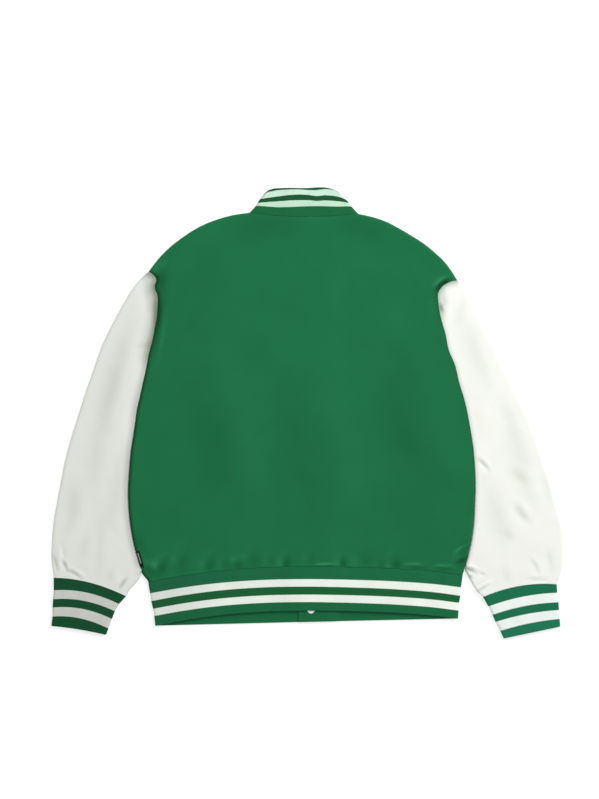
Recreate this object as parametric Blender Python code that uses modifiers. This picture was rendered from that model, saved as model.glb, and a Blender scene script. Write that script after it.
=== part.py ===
"""Bomber jacket with rib collar, cuffs and hem, laid flat with its back up.

Seen from above: +X is the viewer's right, +Y runs to the collar, +Z points out of the back.
The jacket rests on z = 0. Every table and size below is in millimetres, and the meshes are built in metres.
"""

import math

import bpy
import numpy as np

MM = 0.001
ORIGIN = (0.65, 0.08)  # middle of the whole outline, in the coordinates of the tables below

# Driving sizes, mm
BODY_WALL = 2.6  # wool shell with its lining
SLEEVE_WALL = 2.2
RIB_WALL = 2.6  # double knit
COLLAR_WALL = 1.4
COLLAR_LIFT = 1.1  # the collar starts this far above the seam where it folds
SEAM_GAP = 0.3
FOLD_MIDDLE = 4.8  # height of a side fold's middle
FOLD_RADIUS = 5.0  # roll of a side fold, seen from above
BODY_TOP = 9.0  # outer height of the back panel
PLACKET_TOP = 9.7  # the same over the buttoned fronts
RIB_TOP = 8.8
SLEEVE_TOP = 10.2
UNDERLAP_RISE = BODY_WALL + SEAM_GAP
FRONT_EDGE = {"left": 29.0, "right": -15.0}  # where each front ends, left one underneath
COLLAR_ENDS = {"left": 5.7, "right": 7.7}  # the collar meets edge to edge over the snaps
RAMP_START = 41.0  # from here the right front comes down to the floor
RAMP = 18.0
RAMP_COLUMNS = (62.0, 36.0)  # columns of points on each side of that
SEAM_DIP = 0.42  # how far round its fold the cloth is at a seam: 1 is the fold itself
SEAM_ROLL = 9.0  # the dip reaches this far from a seam
ARMPIT_FADE = 30.0  # the side fold fades along the armhole over this length

SNAP_X = 6.7
SNAP_HEIGHTS = (-331.0, -245.0, -145.0, -45.0, 55.0, 155.0, 250.0)
SNAP_SIDES = 12
SNAP_CLEARANCE = 0.3
SNAP_BACK = (7.0, 1.0)  # radius and height of the disc on the floor
SNAP_POST = 2.5
SNAP_CAP = (6.3, 5.7, 0.6, 1.0)  # radius, radius of its face, heights of its rim and face
THROUGH = 12.0  # the cutters end here, above both fronts

LABEL_ENDS = [(-288.0, -235.0), (-280.0, -257.0)]  # of the tab, by the side seam
LABEL_COLUMNS = (2.2, 4.2, 6.6, 9.5)  # from the side seam
LABEL_WALL = 0.9
LABEL_RISE = 1.3  # its outer face lies this far above the back panel

# Outlines, seen from above: (x, y) going up or away from the middle
SIDES = {
    "left": [(-255, -358), (-257, -341), (-259, -329), (-262, -316), (-264, -303), (-267, -284), (-278, -269),
             (-283, -250), (-290, -227), (-296, -197), (-300, -163), (-301, -129), (-299, -96), (-296, -62),
             (-292, -37)],
    "right": [(254, -346), (255, -332), (256, -319), (258, -307), (259, -293), (262, -272), (266, -259),
              (271, -239), (276, -217), (280, -188), (282, -155), (283, -121), (281, -79), (279, -57),
              (276, -37)],
}
ARMHOLES = {
    "left": [(-292, -37), (-289, -17), (-286, 5), (-281, 27), (-276, 50), (-270, 76), (-266, 98), (-260, 121),
             (-256, 140), (-252, 165), (-250, 180), (-249, 195), (-250, 205), (-252, 214), (-253, 223),
             (-258, 231), (-266, 238)],
    "right": [(276, -37), (271, -7), (265, 20), (256, 50), (248, 82), (238, 106), (233, 131), (225, 160),
              (222, 175), (220, 190), (220, 201), (225, 210), (233, 217), (242, 221), (253, 223)],
}
SHOULDERS = {
    "left": [(-266, 238), (-255, 253), (-242, 268), (-227, 282), (-210, 295), (-192, 307), (-171, 318),
             (-150, 326), (-124, 333), (-96, 337)],
    "right": [(253, 223), (243, 239), (230, 256), (215, 270), (198, 284), (178, 297), (156, 310), (133, 322),
              (109, 330), (86, 335)],
}
BACK_NECK = [(-96, 337), (-54, 332), (-5, 330), (42, 331), (86, 335)]
FRONT_NECK = {
    "left": [(-96, 337), (-76, 314), (-40, 297), (0, 292), (29, 293)],
    "right": [(86, 335), (66, 313), (32, 297), (0, 292), (-15, 292)],
}
HEM_SEAM = [(-267, -284), (-213, -274), (-155, -266), (-79, -260), (-2, -258), (72, -259), (156, -262),
            (223, -267), (262, -272)]
FRONT_HEM_SEAM = {"left": (29, -277), "right": (-15, -278)}
COLLAR_FOLDS = {"left": [(-96, 337), (-87, 347), (-80, 358), (-71, 369.5), (-65, 374.5)],
                "right": [(86, 335), (76, 346), (70, 354), (63.5, 361.5), (55.5, 369.5), (48, 374.5)]}
COLLAR_TOP = [(-65, 374.5), (-57, 377), (-45, 378), (-5, 378), (36, 378), (48, 374.5)]
FRONT_COLLAR_TOP = {"left": [(-65, 374.5), (-50, 354), (-25, 342), (5.7, 339)],
                    "right": [(48, 374.5), (42, 356), (28, 342), (7.7, 339)]}
SLEEVES = {
    "left": {
        "outer": [(-266, 238), (-277, 229), (-287, 218), (-297, 204), (-314, 175), (-332, 141), (-347, 108),
                  (-360, 71), (-373, 34), (-385, -4), (-397, -42), (-407, -79), (-413, -109), (-420, -146),
                  (-426, -180), (-429, -213), (-430, -247), (-426, -277)],
        "below_body": [(-279, -270), (-282, -279), (-288, -287), (-296, -296), (-304, -308)],
    },
    "right": {
        "outer": [(253, 223), (260, 215), (268, 203), (276, 190), (291, 161), (307, 129), (324, 96),
                  (339, 62), (356, 27), (372, -8), (385, -40), (397, -76), (408, -113), (419, -150),
                  (428, -185), (431, -215), (431, -240), (428, -267), (420, -288)],
        "below_body": [(265.5, -264), (269, -271), (274, -281), (280, -292), (286, -301), (296, -309)],
    },
}
# One row for each edge of a knitted stripe, from the seam to the rib's free edge
CUFF_COLUMNS = "outer_x outer_y inner_x inner_y bow"
CUFFS = {
    "left": [(-426, -277, -304, -308, 7.5), (-426, -298, -316, -321, 8), (-427, -313, -323, -333, 7.5),
             (-428, -327, -328, -346, 7.5), (-428, -342, -334, -362, 7), (-430, -358, -338, -373, 1.7)],
    "right": [(420, -288, 296, -309, 8), (421, -302, 305, -325, 5), (423, -318, 312, -339, 4.5),
              (424, -331, 317, -351, 3.5), (425, -346, 325, -366, 3), (426, -359, 331, -379, 0)],
}
# The same for the hem rib's back: how far the middle of each line stands above a straight one
HEM_COLUMNS = "left_x left_y right_x right_y arch"
HEM_ROWS = [(-267, -284, 262, -272, 20), (-264, -303, 259, -293, 19), (-262, -316, 258, -307, 20),
            (-259, -329, 256, -319, 19), (-257, -341, 255, -332, 19), (-255, -358, 254, -346, 20)]

# Soft folds of the cloth: a line from (x1, y1) to (x2, y2), how wide it is and how deep
FOLD_COLUMNS = "x1 y1 x2 y2 width depth"
SLEEVE_FOLDS = {
    "left": [(-300, 150, -345, -20, 16, 1.4), (-330, 60, -372, -150, 18, 1.2),
             (-400, -190, -418, -262, 9, 2.0), (-372, -236, -398, -258, 9, 1.4),
             (-296, -262, -312, -292, 8, 1.6), (-310, -60, -340, -200, 20, 1.2)],
    "right": [(262, 150, 300, 40, 16, 1.4), (288, -80, 306, -96, 8, 1.6), (345, -20, 372, -170, 20, 1.2),
              (360, -165, 392, -182, 9, 1.6), (268, -266, 300, -262, 6, 2.0),
              (300, -296, 322, -282, 6, 1.6), (375, -252, 412, -250, 8, 1.4)],
}
BODY_FOLDS = [(-214, -262, -206, -240, 9, 1.4), (-150, -256, -146, -236, 10, 1.2),
              (-92, -252, -88, -226, 10, 1.6), (-38, -250, -34, -228, 9, 1.6), (44, -250, 42, -226, 10, 1.8),
              (98, -252, 96, -230, 9, 1.2), (146, -254, 150, -228, 10, 1.8), (196, -256, 192, -236, 9, 1.2),
              (215, -240, 262, -226, 7, 1.5)]


def table(columns, rows):
    return {name: np.array(values, float) for name, values in zip(columns.split(), zip(*rows))}


def curve(*stretches):
    """A dense line through the points of each stretch: smooth inside it, with a corner between stretches."""
    lines = []
    for stretch in stretches:
        points = np.array(stretch, float)
        along = np.concatenate([[0], np.cumsum(np.linalg.norm(np.diff(points, axis=0), axis=1))])
        if len(points) == 2:
            lines.append(points)
            continue
        slopes = np.gradient(points, along, axis=0)
        s = np.linspace(0, along[-1], 12 * len(points))
        i = np.clip(np.searchsorted(along, s, side="right") - 1, 0, len(points) - 2)
        span = (along[i + 1] - along[i])[:, None]
        t = (s - along[i])[:, None] / span
        lines.append(points[i] * (2 * t**3 - 3 * t**2 + 1) + slopes[i] * span * (t**3 - 2 * t**2 + t)
                     + points[i + 1] * (3 * t**2 - 2 * t**3) + slopes[i + 1] * span * (t**3 - t**2))
    return np.vstack([lines[0]] + [line[1:] for line in lines[1:]])


def lengths(line):
    return np.concatenate([[0], np.cumsum(np.linalg.norm(np.diff(line, axis=0), axis=1))])


def at(line, distances):
    along = lengths(line)
    return np.stack([np.interp(distances, along, line[:, axis]) for axis in (0, 1)], axis=1)


def patch(bottom, top, left, right):
    """A grid of points between four edges, its rows from bottom to top."""
    def shares(points):
        along = lengths(points)
        return along / along[-1]

    rough = (shares(left) + shares(right))[:, None] / 2
    u = shares(bottom)[None] * (1 - rough) + shares(top)[None] * rough
    v = shares(left)[:, None] * (1 - u) + shares(right)[:, None] * u
    u, v = u[..., None], v[..., None]
    corners = ((1 - u) * (1 - v) * bottom[0] + u * (1 - v) * bottom[-1]
               + (1 - u) * v * top[0] + u * v * top[-1])
    return (1 - v) * bottom[None] + v * top[None] + (1 - u) * left[:, None] + u * right[:, None] - corners


def nearest(points, line):
    """For each point, its distance to the line and how far along the line that is."""
    flat = points.reshape(-1, 1, 2)
    start, step = line[None, :-1], np.diff(line, axis=0)[None]
    share = np.clip(((flat - start) * step).sum(2) / (step**2).sum(2), 0, 1)
    gaps = np.linalg.norm(flat - start - share[..., None] * step, axis=2)
    best = gaps.argmin(1)
    row = np.arange(len(best))
    along = lengths(line)
    reach = along[best] + share[row, best] * (along[best + 1] - along[best])
    return gaps[row, best].reshape(points.shape[:-1]), reach.reshape(points.shape[:-1])


def ease(t):
    t = np.clip(t, 0, 1)
    return t * t * (3 - 2 * t)


def roll(points, line, turn, radius):
    """0 on a fold and 1 beyond its radius. turn(reach) is 1 where the line is a fold, and less at a seam."""
    gap, reach = nearest(points, line)
    return np.sqrt(1 - np.clip(turn(reach) - gap / radius, 0, 1)**2)


def always_fold(reach):
    return np.ones_like(reach)


def seam_dip(points, line):
    gap, _ = nearest(points, line)
    return np.sqrt(1 - (SEAM_DIP * (1 - ease(gap / SEAM_ROLL)))**2)


def dents(points, rows):
    """Depth of the soft folds at each point."""
    folds = table(FOLD_COLUMNS, rows)
    depth = np.zeros(points.shape[:-1])
    for x1, y1, x2, y2, width, deep in zip(*folds.values()):
        gap, reach = nearest(points, np.array([(x1, y1), (x2, y2)]))
        length = math.hypot(x2 - x1, y2 - y1)
        fade = 0.35 + 0.65 * np.sin(np.pi * np.clip(reach / length, 0, 1))
        depth += deep * fade * np.exp(-(gap / width)**2)
    return depth


SIDE_LINES = {side: curve(SIDES[side]) for side in SIDES}
ARMHOLE_LINES = {side: curve(ARMHOLES[side]) for side in SIDES}
FLANKS = {side: curve(SIDES[side], ARMHOLES[side]) for side in SIDES}
OUTLINES = {side: curve(COLLAR_FOLDS[side][::-1], SHOULDERS[side][::-1], SLEEVES[side]["outer"])
            for side in SIDES}
INNER_FOLDS = {side: curve(SIDES[side][:5:-1] + SLEEVES[side]["below_body"]) for side in SIDES}
CUFF_FOLDS = {side: {edge: curve([(row[at_x], row[at_x + 1]) for row in CUFFS[side]])
                     for edge, at_x in (("outer", 0), ("inner", 2))} for side in SIDES}


def flank_turn(side, rest):
    """A fold up to the armpit, which fades along the armhole until rest is left of it."""
    armpit = lengths(SIDE_LINES[side])[-1]
    return lambda reach: 1 - (1 - rest) * ease((reach - armpit) / ARMPIT_FADE)


def body_rolls(points, rest):
    """How far up the cloth of the body has come at each point, from the folds at the sides and shoulders."""
    level = np.ones(points.shape[:-1])
    for side in SIDES:
        level *= roll(points, FLANKS[side], flank_turn(side, rest), FOLD_RADIUS)
        level *= roll(points, OUTLINES[side], always_fold, FOLD_RADIUS)
    return level


def under_rise(points, side):
    """The right front lies on the left one by the middle, and comes down to the floor beside it."""
    if side == "left":
        return np.zeros(points.shape[:-1])
    return UNDERLAP_RISE * (1 - ease((points[..., 0] - RAMP_START) / RAMP))


def body_top(points):
    level = BODY_TOP + (PLACKET_TOP - BODY_TOP) * (1 - ease((abs(points[..., 0] - 7) - 30) / 30))
    level = level + 0.5 * ease((points[..., 1] + 235) / -25)
    return level - dents(points, BODY_FOLDS)


def upper(points, top, rolls, seams):
    level = rolls
    for seam in seams:
        level = level * seam_dip(points, seam)
    return FOLD_MIDDLE + (top - FOLD_MIDDLE) * level


def lower(points, rise, rolls):
    return FOLD_MIDDLE - (FOLD_MIDDLE - rise) * rolls


def material(name, color, roughness, metallic=0.0):
    made = bpy.data.materials.new(name)
    made.use_nodes = True
    shader = made.node_tree.nodes["Principled BSDF"]
    shader.inputs["Base Color"].default_value = (*color, 1.0)
    shader.inputs["Roughness"].default_value = roughness
    shader.inputs["Metallic"].default_value = metallic
    return made


def add_object(name, mesh, finish, collection):
    made = bpy.data.objects.new(name, mesh)
    made.data.materials.append(finish)
    collection.objects.link(made)
    return made


def cloth(name, grid, wall, finish, collection, around=False, flip=False):
    """A wall through a grid of outer points, mm. around joins the last column to the first."""
    rows, columns = grid.shape[:2]
    mesh = bpy.data.meshes.new(name)
    steps = columns if around else columns - 1
    faces = []
    for i in range(rows - 1):
        for j in range(steps):
            k = (j + 1) % columns
            face = (i * columns + j, i * columns + k, (i + 1) * columns + k, (i + 1) * columns + j)
            faces.append(face[::-1] if flip else face)
    points = (grid.reshape(-1, 3) - (*ORIGIN, 0)) * MM
    mesh.from_pydata(points.tolist(), [], faces)
    made = add_object(name, mesh, finish, collection)
    solid = made.modifiers.new("wall", "SOLIDIFY")
    solid.thickness = wall * MM
    solid.offset = -1.0
    return made


# Distances from a fold, mm: the second is the wall's upright edge
FOLD_STEPS = [0.0, 0.4, 1.7, 3.4, 5.6, 12.0]
TUBE_STEPS = [0.0, 1.7, 3.4, 5.6, 12.0]  # the same round a fold that has no seam
SEAM_STEPS = [0.0, 6.0, 14.0]  # the same from the armpit
UPRIGHT_SHARE = 0.09  # where, towards the third row, an upright second row takes its height
SLOPING_SHARE = 0.45  # where the second row is if the wall isn't upright
RIB_DROP = 74.0  # height of the front hem rib
CORNER = 6.0  # a neck seam turns into a fold over this length
SIDE_ROWS = 8
ARMHOLE_ROWS = 9
SHOULDER_COLUMNS = 9
SLEEVE_RINGS = [0.0, 0.015, 0.05, 0.12, 0.2, 0.29, 0.38, 0.47, 0.56, 0.65, 0.74, 0.82, 0.89, 0.945, 0.98, 1.0]


def stations(length, start, end, count):
    """Distances along an edge: the fine steps in start and end, and count even steps between."""
    even = np.linspace(start[-1], length - end[-1], count + 1)[1:-1]
    return np.concatenate([start, even, length - np.array(end[::-1])])


def upright(plan, probe, fold_first, fold_last, axis):
    """Next to a fold a wall starts upright: its second row stands on the first, as high as just inside."""
    plan, probe = np.moveaxis(plan, axis, 0), np.moveaxis(probe, axis, 0)
    for edge, second, third, folded in ((0, 1, 2, fold_first), (-1, -2, -3, fold_last)):
        if folded is None:
            continue
        folded = folded[:, None]
        inward = plan[third] - plan[edge]
        plan[second] = plan[edge] + inward * SLOPING_SHARE * (1 - folded)
        probe[second] = plan[second] + inward * UPRIGHT_SHARE * folded


def flank_points(side, hem_corner):
    """A panel's side, from the hem seam up to the armhole's top, and how much of a fold each point is."""
    side_line = SIDE_LINES[side]
    armpit = lengths(side_line)[-1]
    hem = nearest(np.array([hem_corner], float), side_line)[1][0]
    below = hem + stations(armpit - hem, [0.0, 3.0, 9.0], [0.0, 8.0], SIDE_ROWS)
    armhole = ARMHOLE_LINES[side]
    above = stations(lengths(armhole)[-1], SEAM_STEPS, FOLD_STEPS, ARMHOLE_ROWS)[1:]
    points = np.vstack([at(side_line, below), at(armhole, above)])
    return points, np.concatenate([np.ones(len(below)), 1 - ease((above - 6) / 14)])


def shoulder_points(side):
    line = curve(SHOULDERS[side])
    total = lengths(line)[-1]
    even = np.linspace(FOLD_STEPS[-1], total, SHOULDER_COLUMNS - len(FOLD_STEPS) + 2)[1:]
    return at(line, np.concatenate([FOLD_STEPS, even]))


def back_neck_points():
    line = curve(BACK_NECK)
    return at(line, stations(lengths(line)[-1], TUBE_STEPS, TUBE_STEPS, 4))


def neck_points(side):
    """The front neckline, from the shoulder to the collar's end and on to the front edge."""
    line = curve(FRONT_NECK[side])
    marks = [COLLAR_ENDS[side], FRONT_EDGE[side]]
    if side == "right":
        marks = list(RAMP_COLUMNS) + marks
    reach = np.interp(abs(np.array(marks) - line[0, 0]), abs(line[:, 0] - line[0, 0]), lengths(line))
    even = np.linspace(TUBE_STEPS[-1], reach[0], 4 if side == "left" else 2)[1:-1]
    return at(line, np.concatenate([TUBE_STEPS, even, reach]))


def hem_points():
    line = curve(HEM_SEAM)
    total = lengths(line)[-1]
    columns = 2 * SHOULDER_COLUMNS + len(back_neck_points())
    return at(line, stations(total, FOLD_STEPS, FOLD_STEPS, columns - 2 * len(FOLD_STEPS) + 1))


def front_hem_points(side, corner, end, steps):
    """A straight line from the side to the front edge."""
    start, end = np.array(corner, float), np.array(end, float)
    total = np.linalg.norm(end - start)
    marks = [COLLAR_ENDS[side], FRONT_EDGE[side]]
    if side == "right":
        marks = list(RAMP_COLUMNS) + marks
    reach = (np.array(marks) - start[0]) / (end[0] - start[0]) * total
    count = SHOULDER_COLUMNS + len(neck_points(side)) - len(FOLD_STEPS) - len(marks) + 1
    even = np.linspace(steps[-1], reach[0], count + 1)[1:-1]
    share = np.concatenate([steps, even, reach]) / total
    return start + share[:, None] * (end - start)


def corner_fade(points):
    """1 at the ends of a row of points, where it meets a fold, and 0 further on."""
    along = lengths(points)
    return 1 - ease(np.minimum(along, along[-1] - along) / CORNER)


def back_panel(collection, finish):
    bottom = hem_points()
    left, left_folded = flank_points("left", HEM_SEAM[0])
    right, right_folded = flank_points("right", HEM_SEAM[-1])
    neck = back_neck_points()
    left_shoulder, right_shoulder = shoulder_points("left"), shoulder_points("right")
    top = np.vstack([left_shoulder, neck[1:-1], right_shoulder[::-1]])
    top_folded = np.ones(len(top))
    top_folded[len(left_shoulder):-len(right_shoulder)] = corner_fade(neck)[1:-1]
    plan = patch(bottom, top, left, right)
    probe = plan.copy()
    upright(plan, probe, left_folded, right_folded, 1)
    upright(plan, probe, None, top_folded, 0)
    height = upper(probe, body_top(probe), body_rolls(probe, SEAM_DIP), [curve(HEM_SEAM), curve(BACK_NECK)])
    cloth("back_panel", np.dstack([plan, height + SEAM_GAP / 2]), BODY_WALL, finish, collection)


def front_panel(side, collection, finish):
    corner = HEM_SEAM[0 if side == "left" else -1]
    flank, flank_folded = flank_points(side, corner)
    bottom = front_hem_points(side, corner, FRONT_HEM_SEAM[side], FOLD_STEPS)
    shoulder = shoulder_points(side)
    neck = neck_points(side)
    top = np.vstack([shoulder, neck[1:]])
    edge_low, edge_high = bottom[-1], top[-1]
    share = lengths(flank) / lengths(flank)[-1]
    edge = edge_low + share[:, None] * (edge_high - edge_low)
    top_folded = np.ones(len(top))
    top_folded[len(shoulder):] = corner_fade(neck)[1:] * (np.arange(1, len(neck)) < 6)
    plan = patch(bottom, top, flank, edge)
    probe = plan.copy()
    upright(plan, probe, flank_folded, None, 1)
    upright(plan, probe, None, top_folded, 0)
    height = lower(probe, under_rise(probe, side), body_rolls(probe, 0.0)) - SEAM_GAP / 2 * bent(probe)
    grid = np.dstack([plan, height])
    return cloth("front_" + side, grid, BODY_WALL, finish, collection, flip=side == "left")


def bent(points):
    """1 on the folds, 0 where the front lies on the floor."""
    return 1 - body_rolls(points, 0.0)


def cuff_row(side, index):
    rows = table(CUFF_COLUMNS, CUFFS[side])
    outer = np.array([rows["outer_x"][index], rows["outer_y"][index]])
    inner = np.array([rows["inner_x"][index], rows["inner_y"][index]])
    total = np.linalg.norm(inner - outer)
    share = stations(total, TUBE_STEPS, SEAM_STEPS, ARMHOLE_ROWS) / total
    line = outer + share[:, None] * (inner - outer)
    line[:, 1] += rows["bow"][index] * 4 * share * (1 - share)
    return line


def moved(line, gap, side):
    """The line moved sideways, away from the body."""
    along = np.gradient(line, axis=0)
    normal = np.stack([along[:, 1], -along[:, 0]], axis=1) / np.linalg.norm(along, axis=1)[:, None]
    return line + normal * gap * (1 if side == "left" else -1)


def tube(name, plan, high, low, wall, finish, collection, side):
    """A flattened tube: the upper layer's grid, and the lower one back from its last column to its first."""
    above = np.dstack([plan, high])
    below = np.dstack([plan, low])[:, -2:0:-1]
    grid = np.concatenate([above, below], axis=1)
    return cloth(name, grid, wall, finish, collection, around=True, flip=side == "left")


def sleeve(side, collection, finish):
    armhole = ARMHOLE_LINES[side]
    total = lengths(armhole)[-1]
    steps = stations(total, SEAM_STEPS, TUBE_STEPS, ARMHOLE_ROWS)
    seam = at(armhole, steps)[::-1]
    inner_line = moved(INNER_FOLDS[side], SEAM_GAP + 0.05, side)
    outer_line = curve(SLEEVES[side]["outer"])
    rings = np.array(SLEEVE_RINGS)
    inner = at(inner_line, rings * lengths(inner_line)[-1])
    outer = at(outer_line, rings * lengths(outer_line)[-1])
    start = moved(seam, SEAM_GAP + 0.05, side)
    outer[0] = at(outer_line, [SEAM_GAP + 0.1])
    start[0] = outer[0]
    start[-1] = inner[0]
    end = cuff_row(side, 0)
    inner[-1] = end[-1]
    outer[-1] = end[0]
    plan = patch(start, end, outer, inner)
    probe = plan.copy()
    probe[0] = seam
    own_fold = np.sqrt(1 - np.clip(1 - nearest(probe, inner_line)[0] / FOLD_RADIUS, 0, 1)**2)
    own_fold[1:, -1] = 0
    outline = roll(probe, OUTLINES[side], always_fold, FOLD_RADIUS)
    outline[:, 0] = 0
    seam_above = roll(probe, FLANKS[side], flank_turn(side, SEAM_DIP), FOLD_RADIUS)
    seam_below = roll(probe, FLANKS[side], flank_turn(side, 0.0), FOLD_RADIUS)
    top_turn = np.minimum(seam_above, own_fold) * outline
    low_turn = np.minimum(seam_below, own_fold) * outline
    cuff_seam = curve([tuple(point) for point in end])
    full = BODY_TOP + (SLEEVE_TOP - BODY_TOP) * ease(nearest(probe, armhole)[0] / 35)
    high = upper(probe, full - dents(probe, SLEEVE_FOLDS[side]), top_turn, [cuff_seam])
    tube("sleeve_" + side, plan, high, lower(probe, 0.0, low_turn), SLEEVE_WALL, finish, collection, side)


def cuff(side, collection, finish):
    rows = [cuff_row(side, index) for index in range(len(CUFFS[side]))]
    seam = rows[0]
    across = np.gradient(seam, axis=0)
    down = np.stack([across[:, 1], -across[:, 0]], axis=1) / np.linalg.norm(across, axis=1)[:, None]
    down *= 1 if side == "left" else -1
    plan = np.stack([seam + down * SEAM_GAP, seam + down * 3.0] + rows[1:])
    level = np.ones(plan.shape[:-1])
    for edge in CUFF_FOLDS[side].values():
        level *= roll(plan, edge, always_fold, FOLD_RADIUS)
    level[:2] = level[2]
    level[:, [0, -1]] = 0
    high = upper(plan, RIB_TOP, level, [])
    tube("cuff_" + side, plan, high, lower(plan, 0.0, level), RIB_WALL, finish, collection, side)


def rib_top(points):
    return RIB_TOP + (PLACKET_TOP - RIB_TOP) * (1 - ease((abs(points[..., 0] - SNAP_X) - 30) / 30))


def strip(name, back, fronts, wall, finish, collection, lines):
    """A rib band open at the front: the left front part up to its fold, the back, the right front part."""
    def level(points):
        product = np.ones(points.shape[:-1])
        for line in lines:
            product *= roll(points, line, always_fold, FOLD_RADIUS)
        return product

    back_height = upper(back, rib_top(back), level(back), [])
    back_height[:, [0, -1]] = FOLD_MIDDLE
    heights = [lower(fronts["left"], 0.0, level(fronts["left"])),
               back_height,
               lower(fronts["right"], under_rise(fronts["right"], "right"), level(fronts["right"]))]
    plans = (fronts["left"], back, fronts["right"])
    left, middle, right = (np.dstack([plan, height]) for plan, height in zip(plans, heights))
    grid = np.concatenate([left[:, :0:-1], middle, right[:, 1:]], axis=1)
    return cloth(name, grid, wall, finish, collection)


def hem_rib(collection, finish):
    rows = table(HEM_COLUMNS, HEM_ROWS)
    seam = hem_points()
    keep = [0] + list(range(2, len(seam) - 2)) + [len(seam) - 1]
    seam = seam[keep]
    share = lengths(seam) / lengths(seam)[-1]
    arch = seam - (seam[0] + share[:, None] * (seam[-1] - seam[0]))
    back, fronts = [], {"left": [], "right": []}
    for index, height in enumerate(rows["arch"]):
        ends = {side: np.array([rows[side + "_x"][index], rows[side + "_y"][index]]) for side in SIDES}
        straight = ends["left"] + share[:, None] * (ends["right"] - ends["left"])
        back.append(straight + arch * height / rows["arch"][0])
        drop = (rows["left_y"][0] - rows["left_y"][index]) / (rows["left_y"][0] - rows["left_y"][-1])
        for side in SIDES:
            end = np.array(FRONT_HEM_SEAM[side]) + (0, -RIB_DROP * drop)
            fronts[side].append(front_hem_points(side, ends[side], end, TUBE_STEPS))
    back = np.array(back)
    back[0, :, 1] -= SEAM_GAP
    for side in SIDES:
        fronts[side] = np.array(fronts[side])
        fronts[side][0, :, 1] -= SEAM_GAP
    upward = {side: fronts[side][::-1] for side in SIDES}
    return strip("hem_rib", back[::-1], upward, RIB_WALL, finish, collection, SIDE_LINES.values())


def collar(collection, finish):
    bottom = back_neck_points()
    top_line = curve(COLLAR_TOP)
    top = at(top_line, stations(lengths(top_line)[-1], TUBE_STEPS, TUBE_STEPS, 4))
    shares = np.array([0, 0.36, 0.72, 1])
    folds = {}
    for side in SIDES:
        line = curve(COLLAR_FOLDS[side])
        folds[side] = at(line, shares * lengths(line)[-1])
    back = patch(bottom, top, folds["left"], folds["right"])
    back[0, :, 1] += SEAM_GAP + COLLAR_LIFT * corner_fade(bottom)
    fronts = {}
    for side in SIDES:
        neck = neck_points(side)[:-1]
        line = curve(FRONT_COLLAR_TOP[side])
        free = at(line, lengths(neck) / lengths(neck)[-1] * lengths(line)[-1])
        end = neck[-1] + shares[:, None] * (free[-1] - neck[-1])
        fronts[side] = patch(neck, free, folds[side], end)
        fronts[side][0, :, 1] += SEAM_GAP + COLLAR_LIFT * (1 - ease(lengths(neck) / CORNER))
    strip("collar", back, fronts, COLLAR_WALL, finish, collection, [OUTLINES[side][:60] for side in SIDES])


def snap(index, height, collection, finish):
    """One fastened press stud: its cap in the outer front, its post and its back on the inner front."""
    radius, back = SNAP_BACK
    cap, face, rim, top = SNAP_CAP
    ring = 2 * UNDERLAP_RISE
    profile = [(0, 0), (radius, 0), (radius, back), (SNAP_POST, back), (SNAP_POST, ring),
               (cap, ring), (cap, ring + rim), (face, ring + top), (0, ring + top)]
    return turned("snap_%d" % index, profile, height, collection, finish)


def turned(name, profile, height, collection, finish):
    mesh = bpy.data.meshes.new(name)
    points = [(r * MM, 0.0, z * MM) for r, z in profile[::-1]]
    mesh.from_pydata(points, [(k, k + 1) for k in range(len(points) - 1)], [])
    made = add_object(name, mesh, finish, collection)
    made.location = ((SNAP_X - ORIGIN[0]) * MM, (height - ORIGIN[1]) * MM, 0.0)
    screw = made.modifiers.new("turn", "SCREW")
    screw.steps = SNAP_SIDES
    screw.render_steps = SNAP_SIDES
    screw.use_merge_vertices = True
    screw.merge_threshold = 1e-5
    screw.use_smooth_shade = False
    return made


def snap_cutter(index, height, collection, finish):
    radius, back = (size + SNAP_CLEARANCE for size in SNAP_BACK)
    post = SNAP_POST + SNAP_CLEARANCE
    profile = [(0, -back), (radius, -back), (radius, back), (post, back), (post, THROUGH), (0, THROUGH)]
    made = turned("cutter_%d" % index, profile, height, collection, finish)
    made.hide_render = True
    made.display_type = "WIRE"
    return made


def side_label(collection, finish):
    """A blank folded tab that comes out of the left side seam and lies on the back panel."""
    line = SIDE_LINES["left"]
    reach = nearest(np.array(LABEL_ENDS), line)[1]
    edge = at(line, np.linspace(reach[1], reach[0], 4))
    rows = []
    for inward in LABEL_COLUMNS:
        plan = moved(edge, -inward, "right")
        height = upper(plan, body_top(plan), body_rolls(plan, SEAM_DIP), [curve(HEM_SEAM)]) + SEAM_GAP / 2
        rows.append(np.column_stack([plan, height]))
    grid = np.array(rows)
    across, up = np.gradient(grid, axis=0), np.gradient(grid, axis=1)
    normal = np.cross(up, across)
    normal *= np.sign(normal[..., 2:]) / np.linalg.norm(normal, axis=2)[..., None]
    cloth("side_label", grid + normal * LABEL_RISE, LABEL_WALL, finish, collection, flip=True)


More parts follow.
